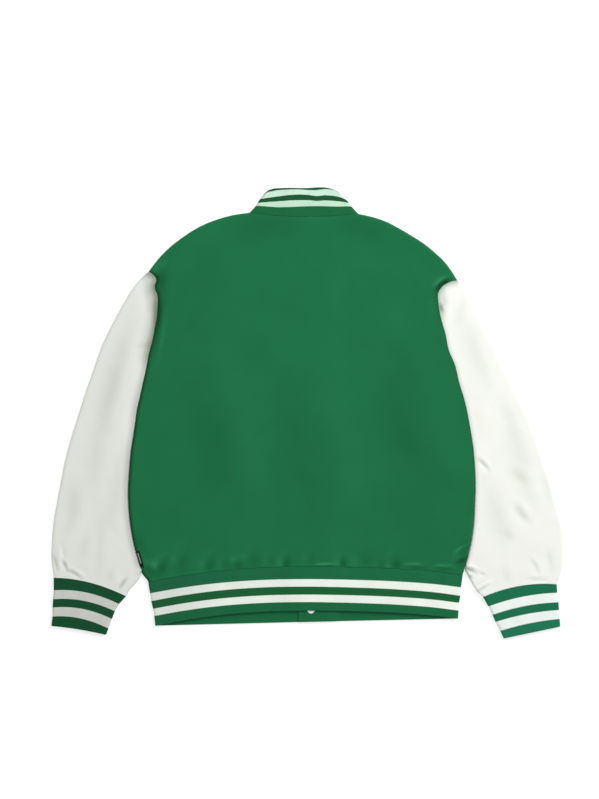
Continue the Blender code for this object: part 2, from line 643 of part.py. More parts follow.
def main():
    for old in list(bpy.data.objects):
        bpy.data.objects.remove(old, do_unlink=True)
    jacket = bpy.data.collections.new("bomber_jacket")
    cutters = bpy.data.collections.new("cutters")
    bpy.context.scene.collection.children.link(jacket)
    bpy.context.scene.collection.children.link(cutters)
    cutters.hide_render = True
    wool = material("green_wool", (0.015, 0.16, 0.06), 0.9)
    rib = material("green_rib", (0.012, 0.12, 0.045), 0.9)
    leather = material("white_leather", (0.82, 0.82, 0.78), 0.5)
    enamel = material("white_enamel", (0.85, 0.85, 0.83), 0.3)
    black = material("black_tape", (0.01, 0.01, 0.01), 0.7)
    back_panel(jacket, wool)
    fronts = [front_panel(side, jacket, wool) for side in SIDES]
    for side in SIDES:
        sleeve(side, jacket, leather)
        cuff(side, jacket, rib)
    hem = hem_rib(jacket, rib)
    collar(jacket, rib)
    for index, height in enumerate(SNAP_HEIGHTS, start=1):
        snap(index, height, jacket, enamel)
        cutter = snap_cutter(index, height, cutters, enamel)
        for piece in [hem] if index == 1 else fronts:
            hole = piece.modifiers.new("snap_%d" % index, "BOOLEAN")
            hole.operation = "DIFFERENCE"
            hole.object = cutter
    side_label(jacket, black)


main()
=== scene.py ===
"""Looks of the bomber jacket: wool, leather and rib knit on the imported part, which lies with its back up."""

import math

import bmesh
import bpy
import numpy as np
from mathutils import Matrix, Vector


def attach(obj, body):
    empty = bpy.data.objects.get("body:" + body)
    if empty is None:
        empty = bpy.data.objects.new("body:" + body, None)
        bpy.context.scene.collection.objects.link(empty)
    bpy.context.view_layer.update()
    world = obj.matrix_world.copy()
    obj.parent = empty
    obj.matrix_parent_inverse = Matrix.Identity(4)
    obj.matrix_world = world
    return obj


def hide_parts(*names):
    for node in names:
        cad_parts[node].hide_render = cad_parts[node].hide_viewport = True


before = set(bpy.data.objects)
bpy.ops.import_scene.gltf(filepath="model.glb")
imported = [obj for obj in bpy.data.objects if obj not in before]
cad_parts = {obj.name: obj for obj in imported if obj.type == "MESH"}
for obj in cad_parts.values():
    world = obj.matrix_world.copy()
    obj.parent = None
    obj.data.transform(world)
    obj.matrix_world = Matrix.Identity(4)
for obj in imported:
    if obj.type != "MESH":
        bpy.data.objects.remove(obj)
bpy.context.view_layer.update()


# The surface and the light.
# A light table of opal sheet under two large soft lights, the stronger one above the right shoulder.
# The camera hangs straight above on a long lens, as for a catalogue picture of a garment laid flat.

MM = 0.001
ORIGIN = (0.65, 0.08)  # middle of the jacket's outline, in the coordinates of the tables below, mm
TABLE_SIZE = 12.0
TABLE_DROP = 0.0005  # below the jacket's underside
TABLE_COLOR = "C4C4C4"
TABLE_GLOW = 0.62  # lit from below, so that a garment on it throws hardly any shadow
VIEW_MIDDLE = (-12.6, 22.7)  # what the camera looks at, mm
VIEW_HEIGHT = 1.3423  # of the whole picture, at the jacket's top face
JACKET_TOP = 0.009
CAMERA_HEIGHT = 3.0  # above the jacket's top face
CAMERA_REACH = 50.0
SENSOR = 36.0
LAMP_SIZE = 1.4
LAMPS = [("key", (1.35, 1.15, 1.9), 46.0), ("fill", (-1.7, -0.6, 2.2), 9.0)]  # place and power
ROOM = 0.42


def linear(code):
    """Linear colour with alpha, from an sRGB hex code."""
    shares = [int(code[at:at + 2], 16) / 255 for at in (0, 2, 4)]
    return [s / 12.92 if s <= 0.04045 else ((s + 0.055) / 1.055) ** 2.4 for s in shares] + [1.0]


def connect(tree, made, **links):
    """Sets inputs, by name or number, to a number, a colour, a node's output, or a node's first output."""
    for name, value in links.items():
        numbered = name[0] == "i" and name[1:].isdigit()
        socket = made.inputs[int(name[1:]) if numbered else name.replace("_", " ")]
        if isinstance(value, bpy.types.Node):
            value = value.outputs[0]
        if isinstance(value, bpy.types.NodeSocket):
            tree.links.new(value, socket)
        else:
            socket.default_value = value


def node(tree, kind, settings=None, **links):
    """Adds a node of this kind, with these settings and inputs."""
    made = tree.nodes.new("ShaderNode" + kind)
    for name, value in (settings or {}).items():
        setattr(made, name, value)
    connect(tree, made, **links)
    return made


def new_material(name, **values):
    """A material, its node tree and its Principled shader, with the shader's own sockets set."""
    made = bpy.data.materials.new(name)
    made.use_nodes = True
    shader = made.node_tree.nodes["Principled BSDF"]
    connect(made.node_tree, shader, **values)
    return made, made.node_tree, shader


opal_sheet, _, _ = new_material("opal_acrylic_sheet", Base_Color=linear(TABLE_COLOR), Roughness=0.9,
                                Emission_Color=(1, 1, 1, 1), Emission_Strength=TABLE_GLOW)
shape = bmesh.new()
bmesh.ops.create_grid(shape, x_segments=1, y_segments=1, size=TABLE_SIZE / 2)
table_mesh = bpy.data.meshes.new("table")
shape.to_mesh(table_mesh)
shape.free()
table_mesh.materials.append(opal_sheet)
table = bpy.data.objects.new("table", table_mesh)
table.location.z = -TABLE_DROP
bpy.context.scene.collection.objects.link(table)

for name, spot, power in LAMPS:
    lamp = bpy.data.lights.new(name, "AREA")
    lamp.size = LAMP_SIZE
    lamp.energy = power
    lamp_object = bpy.data.objects.new(name, lamp)
    lamp_object.location = spot
    lamp_object.rotation_euler = Vector(spot).to_track_quat("Z", "Y").to_euler()
    bpy.context.scene.collection.objects.link(lamp_object)

world = bpy.data.worlds.new("room")
world.use_nodes = True
background = world.node_tree.nodes["Background"].inputs
background["Strength"].default_value = ROOM
background["Color"].default_value = (1, 1, 1, 1)
bpy.context.scene.world = world

camera = bpy.data.cameras.new("camera")
camera.sensor_width = SENSOR
camera.lens = SENSOR * CAMERA_HEIGHT / VIEW_HEIGHT
camera.clip_end = CAMERA_REACH
camera_object = bpy.data.objects.new("camera", camera)
view_x, view_y = ((middle - start) * MM for middle, start in zip(VIEW_MIDDLE, ORIGIN))
camera_object.location = (view_x, view_y, CAMERA_HEIGHT + JACKET_TOP)
bpy.context.scene.collection.objects.link(camera_object)
bpy.context.scene.camera = camera_object
bpy.context.scene.view_settings.view_transform = "Standard"


# The back panel.
# One piece of wool melton with its lining, sewn to the fronts at the sides and shoulders, to the sleeves, the
# collar and the hem rib. It lies on the fronts, rolls over at the sides, and puckers where the rib pulls it.

BODY_WALL = 2.6
SEAM_GAP = 0.06  # sewn edges touch
FOLD_MIDDLE = 4.8  # height of a fold's middle, mm
FOLD_RADIUS = 5.0
UPPER_SIDE = 0.3  # past this share of a fold's turn the cloth is the upper layer
BODY_TOP = 9.0
PLACKET_TOP = 9.7  # over the thick front edges
PLACKET_MIDDLE = 7.0
PLACKET_HALF = 30.0  # half its width, and how far it fades beyond that
BLOUSE = (0.5, -235.0, 25.0)  # the wool stands higher by the hem seam: height, below which y, fading over
BODY_WAVES = (70, 0.12, 3)  # unevenness: length and height of its waves, and the seed of their draw
# How far round its fold the cloth is at an armhole: 1 is the fold itself
SEAM_REST = {"left": 0.42, "right": 0.2}
SEAM_DIP = 0.12  # the same at the neck and hem seams
SEAM_ROLL = 7.0
ARMPIT_FADE = 30.0
EDGE_ROUND = 0.7  # a cut and turned edge is this round
EDGE_STEPS = [0.0, 0.12, 0.4, 0.85, 1.5, 2.4, 3.6, 5.2, 7.5, 10.5]
SIDES = {
    "left": [(-255, -358), (-257, -341), (-259, -329), (-262, -316), (-264, -303), (-267, -284), (-278, -269),
             (-283, -250), (-290, -227), (-296, -197), (-300, -163), (-301, -129), (-299, -96), (-296, -62),
             (-292, -37)],
    "right": [(254, -346), (255, -332), (256, -319), (258, -307), (259, -293), (262, -272), (266, -259),
              (271, -239), (276, -217), (280, -188), (282, -155), (283, -121), (281, -79), (279, -57),
              (276, -37)],
}
ARMHOLES = {
    "left": [(-292, -37), (-289, -17), (-286, 5), (-281, 27), (-276, 50), (-270, 76), (-266, 98), (-260, 121),
             (-256, 140), (-252, 165), (-251.2, 180), (-250.8, 193), (-251.5, 199), (-254.6, 206),
             (-256, 213), (-254, 219), (-253, 224.5), (-257, 231), (-266, 238)],
    "right": [(276, -37), (271, -7), (265, 20), (256, 50), (248, 82), (238, 106), (233, 131), (225, 160),
              (222, 175), (220, 190), (220, 201), (225, 210), (233, 217), (242, 221), (253, 223)],
}
SHOULDERS = {
    "left": [(-266, 238), (-255, 253), (-242, 268), (-227, 282), (-210, 295), (-192, 307), (-171, 318),
             (-150, 326), (-124, 333), (-96, 337)],
    "right": [(253, 223), (243, 239), (230, 256), (215, 270), (198, 284), (178, 297), (156, 310), (133, 322),
              (109, 330), (86, 335)],
}
COLLAR_FOLDS = {"left": [(-96, 337), (-87, 347), (-80, 358), (-71, 369.5), (-65, 374.5)],
                "right": [(86, 335), (76, 346), (70, 354), (63.5, 361.5), (55.5, 369.5), (48, 374.5)]}
SLEEVE_OUTER = {
    "left": [(-266, 238), (-277, 229), (-287, 218), (-297, 204), (-314, 175), (-332, 141), (-347, 108),
             (-360, 71), (-373, 34), (-385, -4), (-397, -42), (-407, -79), (-413, -109), (-420, -146),
             (-426, -180), (-429, -213), (-430, -247), (-426, -277)],
    "right": [(253, 223), (260, 215), (268, 203), (276, 190), (291, 161), (307, 129), (324, 96), (339, 62),
              (356, 27), (372, -8), (385, -40), (397, -76), (408, -113), (419, -150), (428, -185),
              (431, -215), (431, -240), (428, -267), (420, -288)],
}
BACK_NECK = [(-96, 337), (-54, 332), (-5, 330), (42, 331), (86, 335)]
HEM_SEAM = [(-267, -284), (-213, -274), (-155, -266), (-79, -260), (-2, -258), (72, -259), (156, -262),
            (223, -267), (262, -272)]

# Creases: from (x1, y1) to (x2, y2), standing off the straight line by bow; width and depth, mm.
# A crease with a negative depth is a ridge.
BODY_CREASES = [
    (-246, -272, -240, -252, 2, 7, 2.0), (-214, -264, -206, -240, 0, 9, 1.0),
    (-166, -266, -162, -248, 0, 7, 1.6), (-138, -262, -136, -250, 1, 5, 1.0),
    (-122, -262, -110, -252, 0, 7, 1.6), (-92, -260, -88, -236, 0, 9, 1.0), (-62, -256, -60, -242, 0, 5, 0.8),
    (-36, -262, -34, -244, 0, 6, 2.0), (6, -254, 8, -236, 0, 6, 0.8), (14, -255, 44, -255, 1, 2.5, -1.3),
    (14, -261, 52, -260, 1, 4, 0.9), (60, -262, 60, -246, 0, 5, 2.2), (98, -258, 96, -236, 0, 9, 0.8),
    (122, -262, 124, -250, 0, 5, 0.8), (150, -264, 148, -246, 0, 7, 2.0),
    (162, -254, 197, -256, 1, 2.5, -1.4), (166, -260, 200, -262, 1, 4, 1.0),
    (212, -255, 244, -258, 1, 2.5, -1.3), (214, -264, 246, -264, 1, 4, 1.0),
    (246, -238, 272, -220, 3, 3, -1.3), (250, -252, 268, -246, 0, 4, 2.2),
    (-276, -262, -252, -276, 3, 7, 1.4), (-270, -240, -286, -200, 3, 8, 0.9),
    (254, -262, 266, -222, -3, 8, 0.9), (-252, 150, -240, 196, 3, 9, 1.2),
    (-246, 196, -238, 236, 3, 8, 1.8), (226, 150, 212, 205, -4, 9, 1.0), (216, 204, 238, 222, 2, 5, 2.4),
    (-120, 300, -20, 316, 8, 22, 0.7), (40, 312, 130, 296, 8, 22, 0.7), (-200, 60, -150, -150, 10, 34, 0.6),
    (150, 90, 190, -130, -10, 34, 0.6), (-40, 40, 20, -180, 8, 38, 0.5),
]
CREASE_END = 0.3  # share of its depth that is left at its ends
RIDGE_SHARE = 0.35  # height of the ridge beside it, to its depth
RIDGE_STEP = 1.7  # where that ridge is, in widths
CREASE_REACH = 3.5  # widths, past which the cloth is level
CREASE_POINTS = 9  # of its bowed line
WAVES = 9  # that make up an unevenness
WAVE_STRETCH = (0.7, 1.6)  # the shortest and the longest wave, to their nominal length
CURVE_POINTS = 8  # points of a smooth line for each given one
BLOCK = 3000  # points measured at once


def curve(*stretches):
    """A dense line through the points of each stretch, smooth inside it, with a corner between stretches."""
    lines = []
    for stretch in stretches:
        points = np.array(stretch, float)
        along = lengths(points)
        if len(points) == 2:
            lines.append(points)
            continue
        slopes = np.gradient(points, along, axis=0)
        s = np.linspace(0, along[-1], CURVE_POINTS * len(points))
        i = np.clip(np.searchsorted(along, s, side="right") - 1, 0, len(points) - 2)
        span = (along[i + 1] - along[i])[:, None]
        t = (s - along[i])[:, None] / span
        lines.append(points[i] * (2 * t**3 - 3 * t**2 + 1) + slopes[i] * span * (t**3 - 2 * t**2 + t)
                     + points[i + 1] * (3 * t**2 - 2 * t**3) + slopes[i + 1] * span * (t**3 - t**2))
    return np.vstack([lines[0]] + [line[1:] for line in lines[1:]])


def lengths(line):
    return np.concatenate([[0], np.cumsum(np.linalg.norm(np.diff(line, axis=0), axis=1))])


def at(line, distances):
    along = lengths(line)
    return np.stack([np.interp(distances, along, line[:, axis]) for axis in (0, 1)], axis=1)


def patch(bottom, top, left, right):
    """A grid of points between four edges, its rows from bottom to top."""
    def shares(points):
        along = lengths(points)
        return along / along[-1]

    rough = (shares(left) + shares(right))[:, None] / 2
    u = shares(bottom)[None] * (1 - rough) + shares(top)[None] * rough
    v = shares(left)[:, None] * (1 - u) + shares(right)[:, None] * u
    u, v = u[..., None], v[..., None]
    corners = ((1 - u) * (1 - v) * bottom[0] + u * (1 - v) * bottom[-1]
               + (1 - u) * v * top[0] + u * v * top[-1])
    between = (1 - v) * bottom[None] + v * top[None] + (1 - u) * left[:, None] + u * right[:, None]
    return between - corners


def nearest(points, line):
    """For each point, its distance to the line and how far along the line that is."""
    start, step = line[None, :-1], np.diff(line, axis=0)[None]
    along = lengths(line)
    gaps, reaches = [], []
    for flat in np.array_split(points.reshape(-1, 1, 2), max(1, points.size // (2 * BLOCK))):
        share = np.clip(((flat - start) * step).sum(2) / (step**2).sum(2), 0, 1)
        gap = np.linalg.norm(flat - start - share[..., None] * step, axis=2)
        best, row = gap.argmin(1), np.arange(len(flat))
        gaps.append(gap[row, best])
        reaches.append(along[best] + share[row, best] * (along[best + 1] - along[best]))
    shape = points.shape[:-1]
    return np.concatenate(gaps).reshape(shape), np.concatenate(reaches).reshape(shape)


def ease(t):
    t = np.clip(t, 0, 1)
    return t * t * (3 - 2 * t)


def stations(length, start, end, count):
    """Distances along an edge: the fine steps in start and end, and even steps between, count in all."""
    even = np.linspace(start[-1], length - end[-1], count - len(start) - len(end) + 2)[1:-1]
    return np.concatenate([start, even, length - np.array(end[::-1])])


def roll(points, line, turn, radius):
    """0 on a fold and 1 beyond its radius. turn(reach) is 1 where the line is a fold, and less at a seam."""
    gap, reach = nearest(points, line)
    return np.sqrt(1 - np.clip(turn(reach) - gap / radius, 0, 1)**2)


def always_fold(reach):
    return np.ones_like(reach)


def seam_dip(points, line):
    gap, _ = nearest(points, line)
    return np.sqrt(1 - (SEAM_DIP * (1 - ease(gap / SEAM_ROLL)))**2)


def creased(points, rows):
    """Depth of the creases at each point: troughs with a lower ridge on one side, fading at their ends."""
    depth = np.zeros(points.shape[:-1])
    for x1, y1, x2, y2, bow, width, deep in rows:
        ends = np.array([(x1, y1), (x2, y2)], float)
        long = np.linalg.norm(ends[1] - ends[0])
        side = np.array([y1 - y2, x2 - x1]) / long
        middle = ends.mean(0) + side * bow * 2
        t = np.linspace(0, 1, CREASE_POINTS)[:, None]
        line = (1 - t)**2 * ends[0] + 2 * t * (1 - t) * middle + t**2 * ends[1]
        near = np.abs(points - ends.mean(0)).max(2) < long / 2 + CREASE_REACH * width + abs(bow)
        if not near.any():
            continue
        gap, reach = nearest(points[near][:, None], line)
        gap, reach = gap[:, 0], reach[:, 0] / lengths(line)[-1]
        which = np.sign((points[near] - ends[0]) @ side - bow * 4 * reach * (1 - reach))
        fade = CREASE_END + (1 - CREASE_END) * np.sin(np.pi * np.clip(reach, 0, 1))
        trough = np.exp(-(gap / width)**2)
        ridge = RIDGE_SHARE * np.exp(-(gap / width - RIDGE_STEP)**2) * (which > 0)
        depth[near] += deep * fade * (trough - ridge)
    return depth


def uneven(points, wave, height, seed):
    """Soft unevenness with no direction of its own: waves about this long and this high, mm."""
    draw = np.random.default_rng(seed)
    total = np.zeros(points.shape[:-1])
    for _ in range(WAVES):
        angle, phase = draw.uniform(0, 2 * math.pi, 2)
        stretch = wave * draw.uniform(*WAVE_STRETCH)
        total += np.cos(2 * math.pi * (points @ (math.cos(angle), math.sin(angle))) / stretch + phase)
    return total * height / math.sqrt(WAVES)


def edge_round(distance):
    """How far a turned edge has come down at this distance from it."""
    inside = np.clip(1 - distance / EDGE_ROUND, 0, 1)
    return EDGE_ROUND * (1 - np.sqrt(1 - inside**2))


SIDE_LINES = {side: curve(SIDES[side]) for side in SIDES}
ARMHOLE_LINES = {side: curve(ARMHOLES[side]) for side in SIDES}
FLANKS = {side: curve(SIDES[side], ARMHOLES[side]) for side in SIDES}
OUTLINES = {side: curve(COLLAR_FOLDS[side][::-1], SHOULDERS[side][::-1], SLEEVE_OUTER[side])
            for side in SIDES}
HEM_LINE = curve(HEM_SEAM)
NECK_LINE = curve(BACK_NECK)


def flank_turn(side, rest):
    """A fold up to the armpit, which fades along the armhole until rest is left of it."""
    armpit = lengths(SIDE_LINES[side])[-1]
    return lambda reach: 1 - (1 - rest) * ease((reach - armpit) / ARMPIT_FADE)


def body_rolls(points, rests):
    """How far up the cloth of the body has come at each point, from the folds at the sides and shoulders."""
    level = np.ones(points.shape[:-1])
    for side in SIDES:
        level *= roll(points, FLANKS[side], flank_turn(side, rests[side]), FOLD_RADIUS)
        level *= roll(points, OUTLINES[side], always_fold, FOLD_RADIUS)
    return level


def shell(name, grid, wall, material, along, shade, across=None, around=False, flip=False):
    """A wall of cloth under a grid of outer points, mm. Its UV map is the cloth's own measure, along by rows
    and across by columns; if not given, across is measured on the middle row. shade, a grid or one number, is
    its attribute of painted light and shade: painted shade where it is above 0, a painted highlight where
    below.
    around joins the last column to the first."""
    rows, columns = grid.shape[:2]
    along = np.broadcast_to(along if np.ndim(along) == 2 else np.array(along)[:, None], (rows, columns))
    shade = np.clip(np.broadcast_to(shade, (rows, columns)), -1, 1)
    if around:
        grid, along, shade = (np.concatenate([part, part[:, :1]], axis=1) for part in (grid, along, shade))
        columns += 1
    if across is None:
        across = lengths(grid[rows // 2])
    form = bmesh.new()
    bmesh.ops.create_grid(form, x_segments=columns - 1, y_segments=rows - 1, size=1)
    form.verts.ensure_lookup_table()
    low = form.verts[0].co
    uv = form.loops.layers.uv.new("cloth")
    painted_light_and_shade = form.verts.layers.float.new("painted_light_and_shade")
    places = {}
    for vert in form.verts:
        column = round((vert.co.x - low.x) / 2 * (columns - 1))
        row = round((vert.co.y - low.y) / 2 * (rows - 1))
        places[vert] = (row, column)
    for face in form.faces:
        for loop in face.loops:
            row, column = places[loop.vert]
            loop[uv].uv = (across[column] * MM, along[row, column] * MM)
    for vert, (row, column) in places.items():
        x, y, z = grid[row, column]
        vert.co = ((x - ORIGIN[0]) * MM, (y - ORIGIN[1]) * MM, z * MM)
        vert[painted_light_and_shade] = shade[row, column]
    if around:
        bmesh.ops.remove_doubles(form, verts=form.verts, dist=1e-7)
    if flip:
        bmesh.ops.reverse_faces(form, faces=form.faces)
    for face in form.faces:
        face.smooth = True
    mesh = bpy.data.meshes.new(name)
    form.to_mesh(mesh)
    form.free()
    mesh.materials.append(material)
    made = bpy.data.objects.new(name, mesh)
    bpy.context.scene.collection.objects.link(made)
    thick = made.modifiers.new("wall", "SOLIDIFY")
    thick.thickness = wall * MM
    thick.offset = -1.0
    return made


def dress(piece, cad_node):
    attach(piece, "root")
    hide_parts(cad_node)


# Wool melton: a fulled and brushed woven cloth. Its fibres hide the weave, so it looks flat and soft, with
# short nap in every direction, a faint bloom at grazing angles, and a mottle where the nap was pressed.
WOOL_GREEN = "1E7549"
WOOL_DEEP = "1A6C42"
WOOL_PAINTED_SHADE = "0E4728"  # painted shade: in a crease, beside the armholes and sides, and towards the right side
WOOL_PAINTED_HIGHLIGHT = "49A87C"  # painted highlight on a ridge
NAP = 0.5  # mm between tufts
PRESSED = 60.0  # mm across a pressed patch


def with_painted_light_and_shade(tree, color, shade, painted_highlight):
    """The colour with painted shade mixed in where the mesh's attribute is above 0, and a painted highlight
    where it is below 0.
    """
    painted_light_and_shade = node(tree, "Attribute", {"attribute_name": "painted_light_and_shade"}).outputs["Fac"]
    for sign, other in ((1.0, shade), (-1.0, painted_highlight)):
        share = node(tree, "Math", {"operation": "MULTIPLY", "use_clamp": True}, i0=painted_light_and_shade, i1=sign)
        color = node(tree, "MixRGB", Fac=share, Color1=color, Color2=linear(other))
    return color


def wool_material():
    made, tree, shader = new_material("wool_melton", Roughness=0.92, Specular_IOR_Level=0.1,
                                      Sheen_Weight=0.05, Sheen_Roughness=0.5, IOR=1.5)
    cloth = node(tree, "UVMap", {"uv_map": "cloth"})
    tufts = node(tree, "TexNoise", Vector=cloth, Scale=1 / (NAP * MM), Detail=3.0, Roughness=0.6)
    lie = node(tree, "TexNoise", Vector=cloth, Scale=1 / (PRESSED * MM), Detail=2.0)
    green = node(tree, "MixRGB", Fac=lie, Color1=linear(WOOL_DEEP), Color2=linear(WOOL_GREEN))
    fleck = node(tree, "MapRange", Value=tufts, From_Min=0.3, From_Max=0.7, To_Min=0.9, To_Max=1.1)
    lit = node(tree, "MixRGB", {"blend_type": "MULTIPLY"}, Fac=1.0, Color1=green, Color2=fleck)
    bump = node(tree, "Bump", Height=tufts, Strength=0.35, Distance=0.25 * MM)
    # Painted shade in the creases and by the seams, and a painted highlight on the ridges
    connect(tree, shader, Base_Color=with_painted_light_and_shade(tree, lit, WOOL_PAINTED_SHADE, WOOL_PAINTED_HIGHLIGHT), Normal=bump)
    return made


wool = wool_material()

FLANK_ROWS = (74, 82)  # of points up to the armpit, and up the armhole
SHOULDER_COLUMNS = 42
NECK_COLUMNS = 50


def flank_points(side, hem_corner):
    """A panel's side, from the hem seam to the armpit and up the armhole."""
    side_line = SIDE_LINES[side]
    armpit = lengths(side_line)[-1]
    hem = nearest(np.array([[hem_corner]], float), side_line)[1][0, 0]
    below = hem + stations(armpit - hem, EDGE_STEPS, [0.0], FLANK_ROWS[0])
    armhole = ARMHOLE_LINES[side]
    above = stations(lengths(armhole)[-1], [0.0], EDGE_STEPS, FLANK_ROWS[1])[1:]
    return np.vstack([at(side_line, below), at(armhole, above)])


def shoulder_points(side):
    line = curve(SHOULDERS[side])
    return at(line, stations(lengths(line)[-1], EDGE_STEPS, [0.0], SHOULDER_COLUMNS))


def over_placket(points, middle):
    """1 where the cloth lies over the thick front edges, and 0 beside them."""
    return 1 - ease((abs(points[..., 0] - middle) - PLACKET_HALF) / PLACKET_HALF)


def body_top(points):
    rise, start, fade = BLOUSE
    level = BODY_TOP + (PLACKET_TOP - BODY_TOP) * over_placket(points, PLACKET_MIDDLE)
    level = level + rise * ease((start - points[..., 1]) / fade)
    return level - creased(points, BODY_CREASES) + uneven(points, *BODY_WAVES)


def back_height(plan):
    level = body_rolls(plan, SEAM_REST) * seam_dip(plan, HEM_LINE) * seam_dip(plan, NECK_LINE)
    height = FOLD_MIDDLE + (body_top(plan) - FOLD_MIDDLE) * level + SEAM_GAP / 2
    edges = [HEM_LINE, NECK_LINE] + list(ARMHOLE_LINES.values())
    from_edge = np.min([nearest(plan, edge)[0] for edge in edges], axis=0)
    return height - edge_round(from_edge) * (level > UPPER_SIDE)


# Shares of the painted shade's colour: for each mm of a crease's depth; by the armholes and sides (share and
# reach);
# and towards the right side, painted shade that evens out the key lamp's stronger light there
# (share, from which x, fading over)
BODY_SHADE = 0.28
EDGE_SHADE = {"left": (1.0, 8.0), "right": (0.1, 4.0)}
RIGHT_PAINTED_SHADE = (0.09, 60.0, 200.0)
# Painted shade only, in the columns of the crease tables: at the shoulder tips and down the left armhole
SHOULDER_SHADE = [(-262, 216, -246, 236, 0, 7, 2.0), (219, 206, 238, 224, 2, 4, 3.5),
                  (-244, 190, -258, 90, 2, 4, 1.5)]

neck_points = at(NECK_LINE, stations(lengths(NECK_LINE)[-1], [0.0], [0.0], NECK_COLUMNS))
back_top = np.vstack([shoulder_points("left"), neck_points[1:-1], shoulder_points("right")[::-1]])
back_bottom = at(HEM_LINE, stations(lengths(HEM_LINE)[-1], EDGE_STEPS, EDGE_STEPS, len(back_top)))
back_left, back_right = flank_points("left", HEM_SEAM[0]), flank_points("right", HEM_SEAM[-1])
back_plan = patch(back_bottom, back_top, back_left, back_right)
# Painted shade in the creases, at the shoulders, towards the right side and by the armholes and sides; painted
# highlight beside the creases
back_shade = BODY_SHADE * creased(back_plan, BODY_CREASES + SHOULDER_SHADE)
share, start, fade = RIGHT_PAINTED_SHADE
back_shade += share * ease((back_plan[..., 0] - start) / fade)
for side in SIDES:
    share, reach = EDGE_SHADE[side]
    back_shade += share * (1 - ease(nearest(back_plan, FLANKS[side])[0] / reach))
back_panel = shell("wool_back", np.dstack([back_plan, back_height(back_plan)]), BODY_WALL, wool,
                   lengths(back_left), back_shade, across=lengths(back_bottom))
dress(back_panel, "back_panel")


# The fronts.
# Two pieces of the same wool, face down under the back. The left one laps outside the right one by 44 mm,
# with the press studs through both. Their lower faces lie flat on the table.

UNDERLAP_RISE = BODY_WALL + SEAM_GAP
RAMP_START = 41.0  # from here the right front comes down to the table
RAMP = 18.0
FRONT_NECK = {
    "left": [(-96, 337), (-76, 314), (-40, 297), (0, 292), (29, 293)],
    "right": [(86, 335), (66, 313), (32, 297), (0, 292), (-15, 292)],
}
FRONT_HEM_SEAM = {"left": (29, -277), "right": (-15, -278)}
FRONT_COLUMNS = 62
FLAT_SEAMS = {"left": 0.0, "right": 0.0}


def under_rise(points, side):
    """The right front lies on the left one by the middle, and comes down to the table beside it."""
    if side == "left":
        return np.zeros(points.shape[:-1])
    return UNDERLAP_RISE * (1 - ease((points[..., 0] - RAMP_START) / RAMP))


for side in SIDES:
    corner = HEM_SEAM[0 if side == "left" else -1]
    flank = flank_points(side, corner)
    neck = curve(FRONT_NECK[side])
    neck = at(neck, stations(lengths(neck)[-1], [0.0], [0.0], FRONT_COLUMNS))
    front_top = np.vstack([shoulder_points(side), neck[1:]])
    hem = curve([corner, FRONT_HEM_SEAM[side]])
    front_bottom = at(hem, stations(lengths(hem)[-1], EDGE_STEPS, [0.0], len(front_top)))
    share = lengths(flank)[:, None] / lengths(flank)[-1]
    front_edge = front_bottom[-1] + share * (front_top[-1] - front_bottom[-1])
    front_plan = patch(front_bottom, front_top, flank, front_edge)
    level = body_rolls(front_plan, FLAT_SEAMS)
    height = FOLD_MIDDLE - (FOLD_MIDDLE - under_rise(front_plan, side)) * level - SEAM_GAP / 2 * (1 - level)
    # Painted shade and highlight in the shape of the back's creases, though the front itself lies flat
    shade = BODY_SHADE * creased(front_plan, BODY_CREASES)
    front = shell("wool_front_" + side, np.dstack([front_plan, height]), BODY_WALL, wool, lengths(flank),
                  shade, across=lengths(front_bottom), flip=side == "left")
    dress(front, "front_" + side)


# The sleeves.
# Each is one piece of white coated leather round the arm, set into the armhole and gathered into its cuff.
# It lies flat as a tube, with long soft folds, short creases above the cuff, and a curled seam at its top.

SLEEVE_WALL = 2.2
SLEEVE_TOP = 10.2
SLEEVE_RISE = 35.0  # from the armhole to where the sleeve is at its full height
SLEEVE_WAVES = [(80, 0.3, 11), (30, 0.08, 12)]
SLEEVE_LENGTH = 600.0  # about; it only sets how fine the steps by its ends are
INNER_FOLD_RADIUS = {"left": 1.8, "right": 0.8}  # tight, as the sleeve is pressed against the body's side
SLEEVE_GAP = SEAM_GAP + 0.05  # beside the body
SEAM_START = 0.16  # how far down its outer fold the leather starts
SLEEVE_ROWS = 170
SLEEVE_COLUMNS = FLANK_ROWS[1]  # so that the points of both pieces meet along the armhole
BELOW_BODY = {
    "left": [(-279, -270), (-282, -279), (-288, -287), (-296, -296), (-304, -308)],
    "right": [(265.5, -264), (269, -271), (274, -281), (280, -292), (286, -301), (296, -309)],
}
